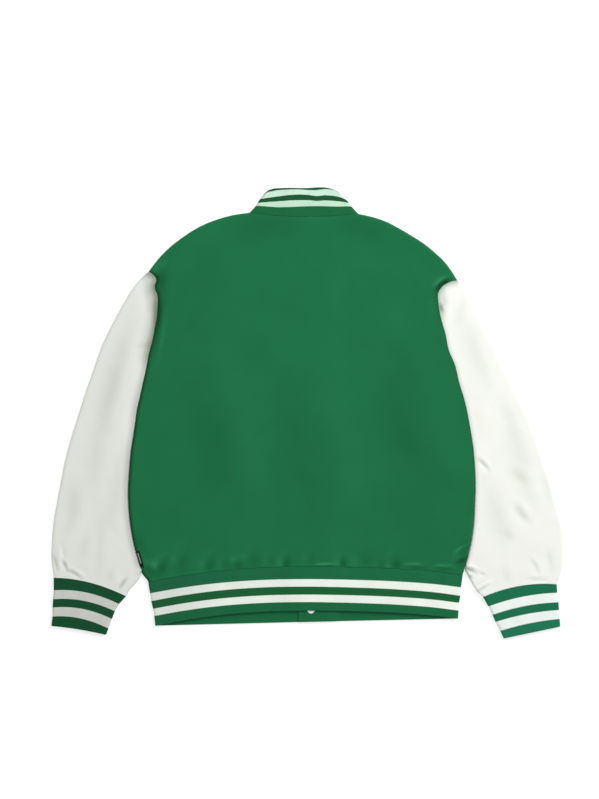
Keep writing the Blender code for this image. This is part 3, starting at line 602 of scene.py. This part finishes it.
# One row for each edge of a knitted stripe, from the seam to the rib's free edge.
# Columns: outer_x, outer_y, inner_x, inner_y, bow
CUFFS = {
    "left": [(-426, -277, -304, -308, 7.5), (-426, -298, -316, -321, 8), (-427, -313, -323, -333, 7.5),
             (-428, -327, -328, -346, 7.5), (-428, -342, -334, -362, 7), (-430, -358, -338, -373, 1.7)],
    "right": [(420, -288, 296, -309, 8), (421, -302, 305, -325, 5), (423, -318, 312, -339, 4.5),
              (424, -331, 317, -351, 3.5), (425, -346, 325, -366, 3), (426, -359, 331, -379, 0)],
}
SLEEVE_CREASES = {
    "left": [
        (-300, 150, -345, -20, 0, 16, 1.4), (-330, 60, -372, -150, 0, 18, 0.8),
        (-310, -60, -340, -200, 4, 20, 0.8), (-427, -240, -420, -266, 1, 3, 2.4),
        (-417, -224, -414, -254, 0, 4, -1.6), (-413, -248, -404, -265, 1.5, 3, 2.8),
        (-404, -265, -381, -277, 2, 3, 2.8), (-390, -268, -372, -276, 2, 4, -0.8),
        (-303, -278, -318, -297, 0, 2.5, 3.2), (-312, -276, -322, -290, 0, 4, -0.9),
        (-330, -262, -334, -286, 0, 7, 0.9), (-350, -180, -352, -282, 1, 9, 0.6),
        (-256, 215, -252, 120, -2, 5, 1.5), (-272, 224, -262, 160, 0, 7, 0.8),
        (-392, -120, -404, -200, 4, 12, 1.0), (-372, -200, -384, -250, 3, 9, 0.6),
        (-288, 60, -300, -20, 2, 10, 0.8), (-262, 118, -290, 112, 2, 5, 0.9),
    ],
    "right": [
        (262, 150, 300, 40, 0, 16, 1.2), (345, -20, 372, -170, 0, 20, 1.0), (286, -78, 304, -96, 1, 3.5, 2.2),
        (350, -156, 370, -182, -2, 7, 1.9), (328, -204, 346, -214, 2, 9, 0.8),
        (264, -262, 282, -268, 1, 3.5, 4.5), (266, -270, 277, -278, 0, 3, 2.6),
        (288, -268, 299, -273, 0, 2.8, 1.6), (281, -304, 304, -289, 0, 2.4, 2.8),
        (290, -296, 310, -282, 0, 4, -1.0), (374, -246, 388, -270, 2, 4, 1.2),
        (368, -279, 402, -281, 0, 3.5, 1.2), (330, -262, 336, -290, 1, 7, 0.8),
        (404, -230, 412, -270, 0, 6, 0.9), (228, 204, 226, 160, 2, 5, 1.8), (262, 196, 250, 150, 2, 8, 0.8),
        (300, -120, 330, -230, 5, 18, 1.0), (392, -90, 408, -160, 2, 10, 0.9),
        (322, 20, 350, -50, 3, 13, 0.8), (224, 182, 226, 170, 0, 3, 3.0), (340, -100, 366, -120, 3, 9, 0.9),
    ],
}
HEM_CORNER = 5  # the rows of SIDES up to this one are the hem rib's; the sleeve lies along the others
INNER_FOLDS = {side: curve(SIDES[side][:HEM_CORNER:-1] + BELOW_BODY[side]) for side in SIDES}

# Coated leather: split hide under a white film with a fine pebble, pressed in. The film gives a satin gloss,
# soft highlights on the folds and a slightly uneven white; painted shade in the creases and a painted
# highlight on the ridges are added to it.
# The left sleeve's whites are darker than the right one's: painted shade on the side away from the key lamp
LEATHER_WHITES_SHADED_LEFT = {"left": ("ECF0E9", "E6EAE2"), "right": ("F8FAF3", "F2F4EC")}
LEATHER_SHADES = {"left": "7F8A78", "right": "84A08C"}  # painted shade, in a crease and beside a seam, tinted green as a painted reflection of the wool
# Painted highlight on a ridge
LEATHER_PAINTED_HIGHLIGHT = "FCFCF8"
# Painted shade on the film beside the body, where the sleeve meets it, down to the armpit, and more on the
# curled tip:
# share of the painted shade's colour, reach, from which y, and over how many mm the painted shade comes in
SEAM_PAINTED_SHADE = {"left": (0.42, 13.0, -280.0, 25.0), "right": (0.35, 8.0, -280.0, 25.0)}
TIP_PAINTED_SHADE = {"left": (0.45, 26.0, 60.0, 50.0), "right": (0.4, 15.0, 140.0, 50.0)}
LEATHER_CREASE_SHADE = 0.13  # share of the painted shade's colour for each mm of a crease's depth
PEBBLE = 1.1  # mm across
TINTED = 45.0  # mm across a patch of one white


def leather_material(side):
    made, tree, shader = new_material("coated_leather_painted_side_light_" + side, Roughness=0.5, Specular_IOR_Level=0.3,
                                      IOR=1.5)
    cloth = node(tree, "UVMap", {"uv_map": "cloth"})
    pebbles = node(tree, "TexVoronoi", {"feature": "SMOOTH_F1"}, Vector=cloth, Scale=1 / (PEBBLE * MM))
    patches = node(tree, "TexNoise", Vector=cloth, Scale=1 / (TINTED * MM), Detail=3.0)
    white, warm = (linear(code) for code in LEATHER_WHITES_SHADED_LEFT[side])
    tint = node(tree, "MixRGB", Fac=patches, Color1=warm, Color2=white)
    bump = node(tree, "Bump", Height=pebbles, Strength=0.25, Distance=0.12 * MM)
    # Painted shade in the creases and beside the body, and a painted highlight on the ridges
    connect(tree, shader, Base_Color=with_painted_light_and_shade(tree, tint, LEATHER_SHADES[side], LEATHER_PAINTED_HIGHLIGHT), Normal=bump)
    return made


def moved(line, gap, side):
    """The line moved sideways, away from the body."""
    along = np.gradient(line, axis=0)
    normal = np.stack([along[:, 1], -along[:, 0]], axis=1) / np.linalg.norm(along, axis=1)[:, None]
    return line + normal * gap * (1 if side == "left" else -1)


def between_rows(table, row):
    """The values of a table at a row number with fractions."""
    return [np.interp(row, range(len(table)), column) for column in np.array(table, float).T]


def cuff_line(side, row, share):
    """Points across the cuff at these shares of it, row counting stripe edges from the seam."""
    outer_x, outer_y, inner_x, inner_y, bow = between_rows(CUFFS[side], row)
    outer, inner = np.array([outer_x, outer_y]), np.array([inner_x, inner_y])
    line = outer + share[:, None] * (inner - outer)
    line[:, 1] += bow * 4 * share * (1 - share)
    return line


def both_layers(above, below):
    """The way round a flat tube: over its upper layer, and back along the lower one."""
    return np.concatenate([above, below[:, -2:0:-1]], axis=1)


# Painted shade within reach of a seam, coming in above a given y
def painted_seam_shade(points, gap, row):
    share, reach, start, fade = row
    return share * (1 - ease(gap / reach)) * ease((points[..., 1] - start) / fade)


for side in SIDES:
    armhole = ARMHOLE_LINES[side]
    inner_line, outer_line = moved(INNER_FOLDS[side], SLEEVE_GAP, side), curve(SLEEVE_OUTER[side])
    down = stations(SLEEVE_LENGTH, EDGE_STEPS, EDGE_STEPS, SLEEVE_ROWS) / SLEEVE_LENGTH
    inner = at(inner_line, down * lengths(inner_line)[-1])
    outer = at(outer_line, SEAM_START + down * (lengths(outer_line)[-1] - SEAM_START))
    seam = at(armhole, stations(lengths(armhole)[-1], [0.0], EDGE_STEPS, SLEEVE_COLUMNS))[::-1]
    start = moved(seam, SLEEVE_GAP, side)
    start[0], start[-1] = outer[0], inner[0]
    cuff_width = math.dist(CUFFS[side][0][:2], CUFFS[side][0][2:4])
    end = cuff_line(side, 0, stations(cuff_width, EDGE_STEPS, [0.0], SLEEVE_COLUMNS) / cuff_width)
    inner[-1], outer[-1] = end[-1], end[0]
    plan = patch(start, end, outer, inner)
    armhole_gap, inner_gap = nearest(plan, armhole)[0], nearest(plan, inner_line)[0]
    cuff_seam = curve([tuple(point) for point in end])
    cuff_gap = nearest(plan, cuff_seam)[0]

    own_fold = np.sqrt(1 - np.clip(1 - inner_gap / INNER_FOLD_RADIUS[side], 0, 1)**2)
    own_fold[1:, -1] = 0
    outline = roll(plan, OUTLINES[side], always_fold, FOLD_RADIUS)
    outline[:, 0] = 0
    seam_above = roll(plan, FLANKS[side], flank_turn(side, SEAM_REST[side]), INNER_FOLD_RADIUS[side])
    seam_below = roll(plan, FLANKS[side], flank_turn(side, FLAT_SEAMS[side]), FOLD_RADIUS)
    above_turn = np.minimum(seam_above, own_fold) * outline * seam_dip(plan, cuff_seam)
    below_turn = np.minimum(seam_below, own_fold) * outline

    depth = creased(plan, SLEEVE_CREASES[side])
    full = BODY_TOP + (SLEEVE_TOP - BODY_TOP) * ease(armhole_gap / SLEEVE_RISE) - depth
    full += sum(uneven(plan, *waves) for waves in SLEEVE_WAVES)
    high = FOLD_MIDDLE + (full - FOLD_MIDDLE) * above_turn
    high -= edge_round(np.minimum(armhole_gap, cuff_gap)) * (above_turn > UPPER_SIDE)
    low = FOLD_MIDDLE - FOLD_MIDDLE * below_turn
    # Painted shade in the creases, on the curled tip and beside the body, with a painted highlight on the
    # ridges
    shade = LEATHER_CREASE_SHADE * depth + painted_seam_shade(plan, armhole_gap, TIP_PAINTED_SHADE[side])
    shade += painted_seam_shade(plan, np.minimum(armhole_gap, inner_gap), SEAM_PAINTED_SHADE[side])
    sleeve = shell("leather_sleeve_" + side, both_layers(np.dstack([plan, high]), np.dstack([plan, low])),
                   SLEEVE_WALL, leather_material(side), lengths(outer), both_layers(shade, shade),
                   around=True, flip=side == "left")
    dress(sleeve, "sleeve_" + side)


# The cuffs.
# A tube of double rib knit, folded at its free edge and drawn onto the sleeve, with two white stripes knitted
# in. Its ribs run down from the seam to the free edge, all the way round.

RIB_WALL = 2.6
RIB_TOP = 8.8
RIB_PITCH = 2.2
RIB_RISE = 0.16  # how far a rib stands above the middle of the knit, and a furrow below it
STITCH = 1.5  # height of one course of stitches
STITCH_SHARE = 0.3  # relief of a stitch, to that of a rib
STRIPE_BLUR = 0.25  # to each side of a stripe's edge
YARN = 0.8  # mm between flecks
FADED = 35.0  # mm across a patch of one shade
CUFF_WIDTH = 118.0  # about; it sets how many ribs there are
CUFF_ROWS_EACH = 6  # rows of points from one stripe edge to the next
BAND = 15.0  # about the height of one band, between two stripe edges
CUFF_KNIT = [0.0, 20.0, 34.0, 48.0, 63.0, 78.0]  # height of each stripe edge in the flat knit, mm
SEAM_ROW = 0.003  # where the knit starts, past the seam's gap, in bands
FINE_ROWS = np.array([0.0, 0.01, 0.03, 0.06])  # in bands from an edge, where the knit turns over
# One colour for each band, from the seam to the free edge. The left cuff's are darker copies of the right
# one's:
# painted shade on the side away from the key lamp
RIB_COLORS = {
    "left": ["154F30", "D3D7CF", "154F30", "D3D7CF", "154F30"],
    "right": ["1C7350", "F6FDF8", "1C7350", "F6FDF8", "1F7A58"],
    "hem": ["1C6E47", "F8FFF5", "1B6438", "F8FFF5", "1B6C43"],
    "collar": ["1C6A3F", "C9EAD0", "1B5735", "D3F0DB", "1B5F3A"],
}
# Painted shade and painted highlight of the knit, mixed in by the mesh's attribute
RIB_SHADE = "20302A"
RIB_PAINTED_HIGHLIGHT = "F4F8F2"


def rib_material(name, edges, colors):
    """Rib knit of wool and nylon yarn: columns of plain stitches stand up between furrows of purl stitches.
    The furrows are in shade, and each stripe starts with a new course of stitches, so its edge is clean."""
    made, tree, shader = new_material(name, Roughness=0.9, Specular_IOR_Level=0.12, Sheen_Weight=0.05,
                                      Sheen_Roughness=0.5, IOR=1.5)
    cloth = node(tree, "UVMap", {"uv_map": "cloth"})
    split = node(tree, "SeparateXYZ", Vector=cloth)
    whole = edges[-1]
    height = node(tree, "Math", {"operation": "DIVIDE"}, i0=split.outputs["Y"], i1=whole * MM)
    ramp = node(tree, "ValToRGB", Fac=height)
    ramp.color_ramp.interpolation = "LINEAR"
    stops = ramp.color_ramp.elements
    stops[0].position, stops[0].color = 0.0, linear(colors[0])
    stops[1].position, stops[1].color = 1.0, linear(colors[-1])
    for k, edge in enumerate(edges[1:-1]):
        for shift, color in ((-STRIPE_BLUR, colors[k]), (STRIPE_BLUR, colors[k + 1])):
            stop = stops.new((edge + shift) / whole)
            stop.color = linear(color)
    yarn = node(tree, "TexNoise", Vector=cloth, Scale=1 / (YARN * MM), Detail=2.0)
    faded = node(tree, "TexNoise", Vector=cloth, Scale=1 / (FADED * MM), Detail=2.0)
    both = node(tree, "Math", {"operation": "ADD"}, i0=yarn, i1=faded)
    fleck = node(tree, "MapRange", Value=both, From_Min=0.6, From_Max=1.4, To_Min=0.92, To_Max=1.06)
    lit = node(tree, "MixRGB", {"blend_type": "MULTIPLY"}, Fac=1.0, Color1=ramp, Color2=fleck)
    waves = []
    for axis, operation, pitch in (("X", "COSINE", RIB_PITCH), ("Y", "SINE", STITCH)):
        turn = 2 * math.pi / (pitch * MM)
        turns = node(tree, "Math", {"operation": "MULTIPLY"}, i0=split.outputs[axis], i1=turn)
        waves.append(node(tree, "Math", {"operation": operation}, i0=turns))
    rib, stitch = waves
    knit = node(tree, "Math", {"operation": "MULTIPLY_ADD"}, i0=stitch, i1=STITCH_SHARE, i2=rib)
    bump = node(tree, "Bump", Height=knit, Strength=0.5, Distance=0.15 * MM)
    # Painted shade on the collar's fold and the hem's left part, and a painted highlight on ridges
    connect(tree, shader, Base_Color=with_painted_light_and_shade(tree, lit, RIB_SHADE, RIB_PAINTED_HIGHLIGHT), Normal=bump)
    return made


def ribbed(grid, around):
    """The grid's points moved out and in by turns along its columns, so that every second column is a rib."""
    along = np.gradient(grid, axis=0)
    if around:
        across = (np.roll(grid, -1, axis=1) - np.roll(grid, 1, axis=1)) / 2
    else:
        across = np.gradient(grid, axis=1)
    normal = np.cross(along, across)
    normal /= np.linalg.norm(normal, axis=2)[..., None]
    turn = np.where(np.arange(grid.shape[1]) % 2, 1.0, -1.0)[None, :, None]
    return grid + normal * turn * RIB_RISE


def fold_shares(length):
    """Shares of a flat tube's width, seen from above, at even steps along the cloth, folds included."""
    bend = FOLD_RADIUS * (math.pi / 2 - 1)
    step = RIB_PITCH / 2
    count = round((length + 2 * bend) / step / 2) * 2
    s = np.linspace(0, length + 2 * bend, count + 1)
    from_edge = np.minimum(s, s[::-1])
    turned = FOLD_RADIUS * (1 - np.cos(from_edge / FOLD_RADIUS))
    near = np.where(from_edge < FOLD_RADIUS * math.pi / 2, turned, from_edge - bend)
    return np.where(s < s[-1] / 2, near, length - near) / length


def rows_between(count, each):
    """Row numbers from the seam's gap to count - 1 with fractions, finer at both ends."""
    inner = np.linspace(0, count - 1, (count - 1) * each + 1)[1:-1]
    return np.concatenate([SEAM_ROW + FINE_ROWS, inner, count - 1 - FINE_ROWS[::-1]])


def folded(points, folds):
    """How far up the knit has come at each point, from the folds at its sides."""
    return np.prod([roll(points, fold, always_fold, FOLD_RADIUS) for fold in folds], axis=0)


for side in SIDES:
    rib = rib_material("rib_knit_cuff_painted_side_light_" + side, CUFF_KNIT, RIB_COLORS[side])
    numbers = rows_between(len(CUFFS[side]), CUFF_ROWS_EACH)
    plan = np.array([cuff_line(side, number, fold_shares(CUFF_WIDTH)) for number in numbers])
    outer_fold, inner_fold = (curve([(row[k], row[k + 1]) for row in CUFFS[side]]) for k in (0, 2))
    level = folded(plan, [outer_fold, inner_fold])
    level[:, [0, -1]] = 0
    lip = edge_round(np.minimum(numbers, numbers[-1] - numbers) * BAND)[:, None] * (level > UPPER_SIDE)
    high = FOLD_MIDDLE + (RIB_TOP - FOLD_MIDDLE) * level - lip
    low = FOLD_MIDDLE - FOLD_MIDDLE * level
    grid = both_layers(np.dstack([plan, high]), np.dstack([plan, low]))
    if side == "right":
        grid = grid[:, ::-1]
    knit_height = np.interp(numbers, range(len(CUFF_KNIT)), CUFF_KNIT)
    cuff = shell("rib_cuff_" + side, ribbed(grid, True), RIB_WALL, rib, knit_height, 0.0, around=True,
                 flip=True)
    dress(cuff, "cuff_" + side)


# The hem rib.
# One strip of the same knit, from the left front's edge round the back to the right front's edge. Across the
# back it is stretched less, so it arches and shows the inside of the front part below it.

# Columns: left_x, left_y, right_x, right_y, arch
HEM_ROWS = [(-267, -284, 262, -272, 20), (-264, -303, 259, -293, 19), (-262, -316, 258, -307, 20),
            (-259, -329, 256, -319, 19), (-257, -341, 255, -332, 19), (-255, -358, 254, -346, 20)]
HEM_KNIT = [0.0, 19.0, 32.0, 44.0, 57.0, 74.0]
FRONT_RIB_LIFT = 0.08  # its stripes stand this share of that higher by the front edge
HEM_ROWS_EACH = 4
SNAP_X = 6.7  # the row of press studs
# Painted shade, darker towards the left, away from the key lamp: share of the painted shade's colour, from
# which x, over how far
HEM_SHADE = [(0.13, -110.0, 130.0), (0.03, 60.0, 160.0)]


def knitted_strip(name, back, fronts, folds, material, numbers, knit_height, row_height, shade):
    """A rib band open at the front: the left front part, from its end to the fold, the back, the right."""
    top = RIB_TOP + (PLACKET_TOP - RIB_TOP) * over_placket(back, SNAP_X)
    lip = edge_round(np.minimum(numbers - numbers[0], numbers[-1] - numbers) * row_height)[:, None]
    up = folded(back, folds)
    up[:, [0, -1]] = 0
    middle = np.dstack([back, FOLD_MIDDLE + (top - FOLD_MIDDLE) * up - lip * (up > UPPER_SIDE)])
    ends = {}
    for side, points in fronts.items():
        down = folded(points, folds)
        down[:, 0] = 0
        ends[side] = np.dstack([points, FOLD_MIDDLE - (FOLD_MIDDLE - under_rise(points, side)) * down])
    grid = ribbed(np.concatenate([ends["left"][:, :0:-1], middle, ends["right"][:, 1:]], axis=1), False)
    return shell(name, grid, RIB_WALL, material, knit_height, shade(grid), flip=True)


def one_fold_shares(length):
    """The same as fold_shares where only the first end is a fold: half of a strip twice as long."""
    both = fold_shares(2 * length)
    half = both[:len(both) // 2 + 1]
    return half / half[-1]


def hem_shade(grid):
    return sum(share * ease((start - grid[..., 0]) / fade) for share, start, fade in HEM_SHADE)


hem_numbers = rows_between(len(HEM_ROWS), HEM_ROWS_EACH)
chord = np.array(HEM_SEAM[-1], float) - HEM_SEAM[0]
hem_share = fold_shares(np.linalg.norm(chord))[:, None]
hem_arch = at(HEM_LINE, hem_share[:, 0] * lengths(HEM_LINE)[-1]) - (np.array(HEM_SEAM[0]) + hem_share * chord)
back_rows, front_rows = [], {"left": [], "right": []}
for number in hem_numbers:
    left_x, left_y, right_x, right_y, arch = between_rows(HEM_ROWS, number)
    ends = {"left": np.array([left_x, left_y]), "right": np.array([right_x, right_y])}
    level = ends["left"] + hem_share * (ends["right"] - ends["left"])
    back_rows.append(level + hem_arch * arch / HEM_ROWS[0][4])
    drop = (HEM_ROWS[0][1] - left_y) / (HEM_ROWS[0][1] - HEM_ROWS[-1][1])
    raised = drop - FRONT_RIB_LIFT * math.sin(math.pi * drop)
    for side, corner in (("left", HEM_SEAM[0]), ("right", HEM_SEAM[-1])):
        stop = np.array(FRONT_HEM_SEAM[side], float) + (0, -HEM_KNIT[-1] * raised)
        share = one_fold_shares(abs(FRONT_HEM_SEAM[side][0] - corner[0]))
        front_rows[side].append(ends[side] + share[:, None] * (stop - ends[side]))
hem_fronts = {side: np.array(front_rows[side]) for side in SIDES}
hem_rib_knit = rib_material("rib_knit_hem", HEM_KNIT, RIB_COLORS["hem"])
hem_heights = np.interp(hem_numbers, range(len(HEM_KNIT)), HEM_KNIT)
hem = knitted_strip("rib_hem", np.array(back_rows), hem_fronts, SIDE_LINES.values(), hem_rib_knit,
                    hem_numbers, hem_heights, BAND, hem_shade)
dress(hem, "hem_rib")


# The collar.
# A stand collar of the same knit, folded double at its top, sewn round the neck. Its back stands up behind
# the neck seam, and its two ends meet at the front, below.

COLLAR_TOP = [(-65, 374.5), (-57, 377), (-45, 378), (-5, 378), (36, 378), (48, 374.5)]
FRONT_COLLAR_TOP = {"left": [(-65, 374.5), (-50, 354), (-25, 342), (5.7, 339)],
                    "right": [(48, 374.5), (42, 356), (28, 342), (7.7, 339)]}
COLLAR_ENDS = {"left": 5.7, "right": 7.7}
COLLAR_WIDTH = 184.0  # about; it sets how many ribs there are
COLLAR_KNIT = [0.0, 14.8, 25.0, 31.6, 39.4, 42.0]
# Rows of points, as shares of the collar's height: fine by the seam, even, and fine by the fold
COLLAR_ROWS = ([0, 0.0015, 0.007, 0.015, 0.03], np.linspace(0.05, 0.95, 26), [0.976, 0.988, 0.996, 1.0])
COLLAR_OUTLINE = 50  # points of the outline that lie by the collar

# Lines of the knitted stripes across the back, which wave where the collar was pressed, mm.
# Columns: x, white2_low, white2_high, white1_low, white1_high
COLLAR_STRIPES = [
    (-81, 348.1, 353, 359.5, 364), (-66, 346.9, 354.4, 361.4, 371), (-50, 345.7, 355.5, 363.8, 374.3),
    (-29, 346.1, 357, 366.4, 375.5), (-12, 346.9, 357.4, 367.3, 375.6), (3, 347.4, 357.4, 366.4, 374.2),
    (16, 347.8, 356, 364.3, 374.2), (30, 347.4, 357, 365.9, 376.2), (45, 346.9, 356.2, 364.8, 375.8),
    (55, 346.9, 355.4, 362.8, 371.5), (65.5, 347.3, 353.8, 358.6, 363), (75, 347.3, 352, 354.5, 357),
]
STRIPE_GAP = 0.5  # at least this much green is left above the upper stripe
FRONT_FADE = 24  # columns from a fold until the front's stripes run straight
# Painted shade on the top of the fold, at the left and, less, at the right, in the columns of the crease
# tables
COLLAR_PAINTED_SHADOWS = [(-75, 366, -65, 374.5, 0.5, 1.5, 3.4), (-65, 374.5, -43, 377.5, 0.5, 1.5, 3.4),
                  (34, 378, 48, 375, 0, 1.3, 3.0), (48, 375, 55, 370, 0, 1.3, 3.0)]
COLLAR_SHADE = 0.3  # share of the painted shade's colour for each mm of a crease's depth
SHADE_DOWN_TO = 1.0  # below the fold's middle, mm


def collar_heights(back, fronts, share):
    """How far up the knit each point is: on the back from the lines above, on the fronts by its row."""
    x, *lines = np.array(COLLAR_STRIPES, float).T
    middle = np.zeros(back.shape[:2])
    for j in range(back.shape[1]):
        seam_y, top_y = min(back[-1, j, 1], NECK_LINE[:, 1].max()), back[0, j, 1]
        for i, point in enumerate(back[:, j]):
            marks = [np.interp(point[0], x, line) for line in lines]
            marks = [seam_y] + marks + [max(top_y, marks[-1] + STRIPE_GAP)]
            middle[i, j] = np.interp(point[1], marks, COLLAR_KNIT)
    plain = COLLAR_KNIT[-1] * share[:, None]
    sides = []
    for side, column in (("left", 0), ("right", -1)):
        fade = 1 - ease(np.arange(1, fronts[side].shape[1]) / FRONT_FADE)
        sides.append(plain + (middle[:, [column]] - plain) * fade)
    return np.concatenate([sides[0][:, ::-1], middle, sides[1]], axis=1)


def collar_shade(grid):
    above = grid[..., 2] > FOLD_MIDDLE - SHADE_DOWN_TO
    # Painted shade on the top of the fold
    return COLLAR_SHADE * creased(grid[..., :2], COLLAR_PAINTED_SHADOWS) * above


collar_share = np.concatenate(COLLAR_ROWS)
back_share = fold_shares(COLLAR_WIDTH)
neck_row = at(NECK_LINE, back_share * lengths(NECK_LINE)[-1])
top_line = curve(COLLAR_TOP)
top_row = at(top_line, back_share * lengths(top_line)[-1])
fold_rows, collar_fronts = {}, {}
for side in SIDES:
    fold, neck, top = curve(COLLAR_FOLDS[side]), curve(FRONT_NECK[side]), curve(FRONT_COLLAR_TOP[side])
    fold_rows[side] = at(fold, collar_share * lengths(fold)[-1])
    stop = np.interp(abs(COLLAR_ENDS[side] - neck[0, 0]), abs(neck[:, 0] - neck[0, 0]), lengths(neck))
    share = one_fold_shares(stop)
    low, free = at(neck, share * stop), at(top, share * lengths(top)[-1])
    end = low[-1] + collar_share[:, None] * (free[-1] - low[-1])
    collar_fronts[side] = patch(low, free, fold_rows[side], end)
collar_back = patch(neck_row, top_row, fold_rows["left"], fold_rows["right"])
collar_rib = rib_material("rib_knit_collar", COLLAR_KNIT, RIB_COLORS["collar"])
# From the top down to the second row, as the first one is the neck seam itself; the knit starts a gap above
collar_back, collar_share = collar_back[:0:-1], collar_share[:0:-1]
upside_down = {side: collar_fronts[side][:0:-1] for side in SIDES}
collar_lines = [OUTLINES[side][:COLLAR_OUTLINE] for side in SIDES]
heights = collar_heights(collar_back, collar_fronts, collar_share)
collar = knitted_strip("rib_collar", collar_back, upside_down, collar_lines, collar_rib, collar_share[::-1],
                       heights, COLLAR_KNIT[-1], collar_shade)
dress(collar, "collar")


# The press studs.
# Seven fastened studs of pressed steel, with a white enamelled cap and back. Only half of the lowest one
# shows, on the inside of the front rib.

ENAMEL_WHITE = "FBFBF9"
enamel, _, _ = new_material("white_enamel", Base_Color=linear(ENAMEL_WHITE), Roughness=0.25, IOR=1.5)
for name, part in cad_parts.items():
    if name.startswith("snap_"):
        part.data.materials.clear()
        part.data.materials.append(enamel)


# The side tab.
# A short blank tape, woven black with one pale bar, folded and caught in the left side seam. It bends over
# the body's side with the wool under it.

TAB_ENDS = [(-288.5, -233.5), (-279.5, -260.0)]  # on the side seam
TAB_STEPS = [0.5, 1.2, 2.0, 3.0, 4.0, 5.2, 6.6]  # of its cloth from the seam
TAB_ROWS = 24
TAB_WALL = 0.9
TAB_RISE = 1.2  # its outer face above the wool's
TAB_BAR = {"X": (2.6, 4.0), "Y": (3.0, 21.0)}  # across and along the tape
THREAD = 0.5  # mm between threads
TAPE_BLACK = "0E0F0E"
TAPE_PALE = "A9ADA6"


def tape_material():
    """Satin-woven polyester tape: fine crosswise threads, a dull gloss, and a bar of pale weft."""
    made, tree, shader = new_material("woven_tape", Roughness=0.75, Specular_IOR_Level=0.2, IOR=1.5)
    cloth = node(tree, "UVMap", {"uv_map": "cloth"})
    split = node(tree, "SeparateXYZ", Vector=cloth)
    inside = 1.0
    for axis, ends in TAB_BAR.items():
        for operation, edge in zip(("GREATER_THAN", "LESS_THAN"), ends):
            past = node(tree, "Math", {"operation": operation}, i0=split.outputs[axis], i1=edge * MM)
            inside = node(tree, "Math", {"operation": "MULTIPLY"}, i0=inside, i1=past)
    color = node(tree, "MixRGB", Fac=inside, Color1=linear(TAPE_BLACK), Color2=linear(TAPE_PALE))
    turn = 2 * math.pi / (THREAD * MM)
    turns = node(tree, "Math", {"operation": "MULTIPLY"}, i0=split.outputs["Y"], i1=turn)
    thread = node(tree, "Math", {"operation": "SINE"}, i0=turns)
    bump = node(tree, "Bump", Height=thread, Strength=0.3, Distance=0.05 * MM)
    connect(tree, shader, Base_Color=color, Normal=bump)
    return made


reach = nearest(np.array(TAB_ENDS, float), SIDE_LINES["left"])[1]
edge = at(SIDE_LINES["left"], np.linspace(reach[0], reach[1], TAB_ROWS))
tab_plan = np.stack([moved(edge, step, "right") for step in TAB_STEPS], axis=1)
tab_grid = np.dstack([tab_plan, back_height(tab_plan) + TAB_RISE])
tab = shell("side_tab", tab_grid, TAB_WALL, tape_material(), lengths(edge), 0.0, across=TAB_STEPS,
            flip=True)
dress(tab, "side_label")
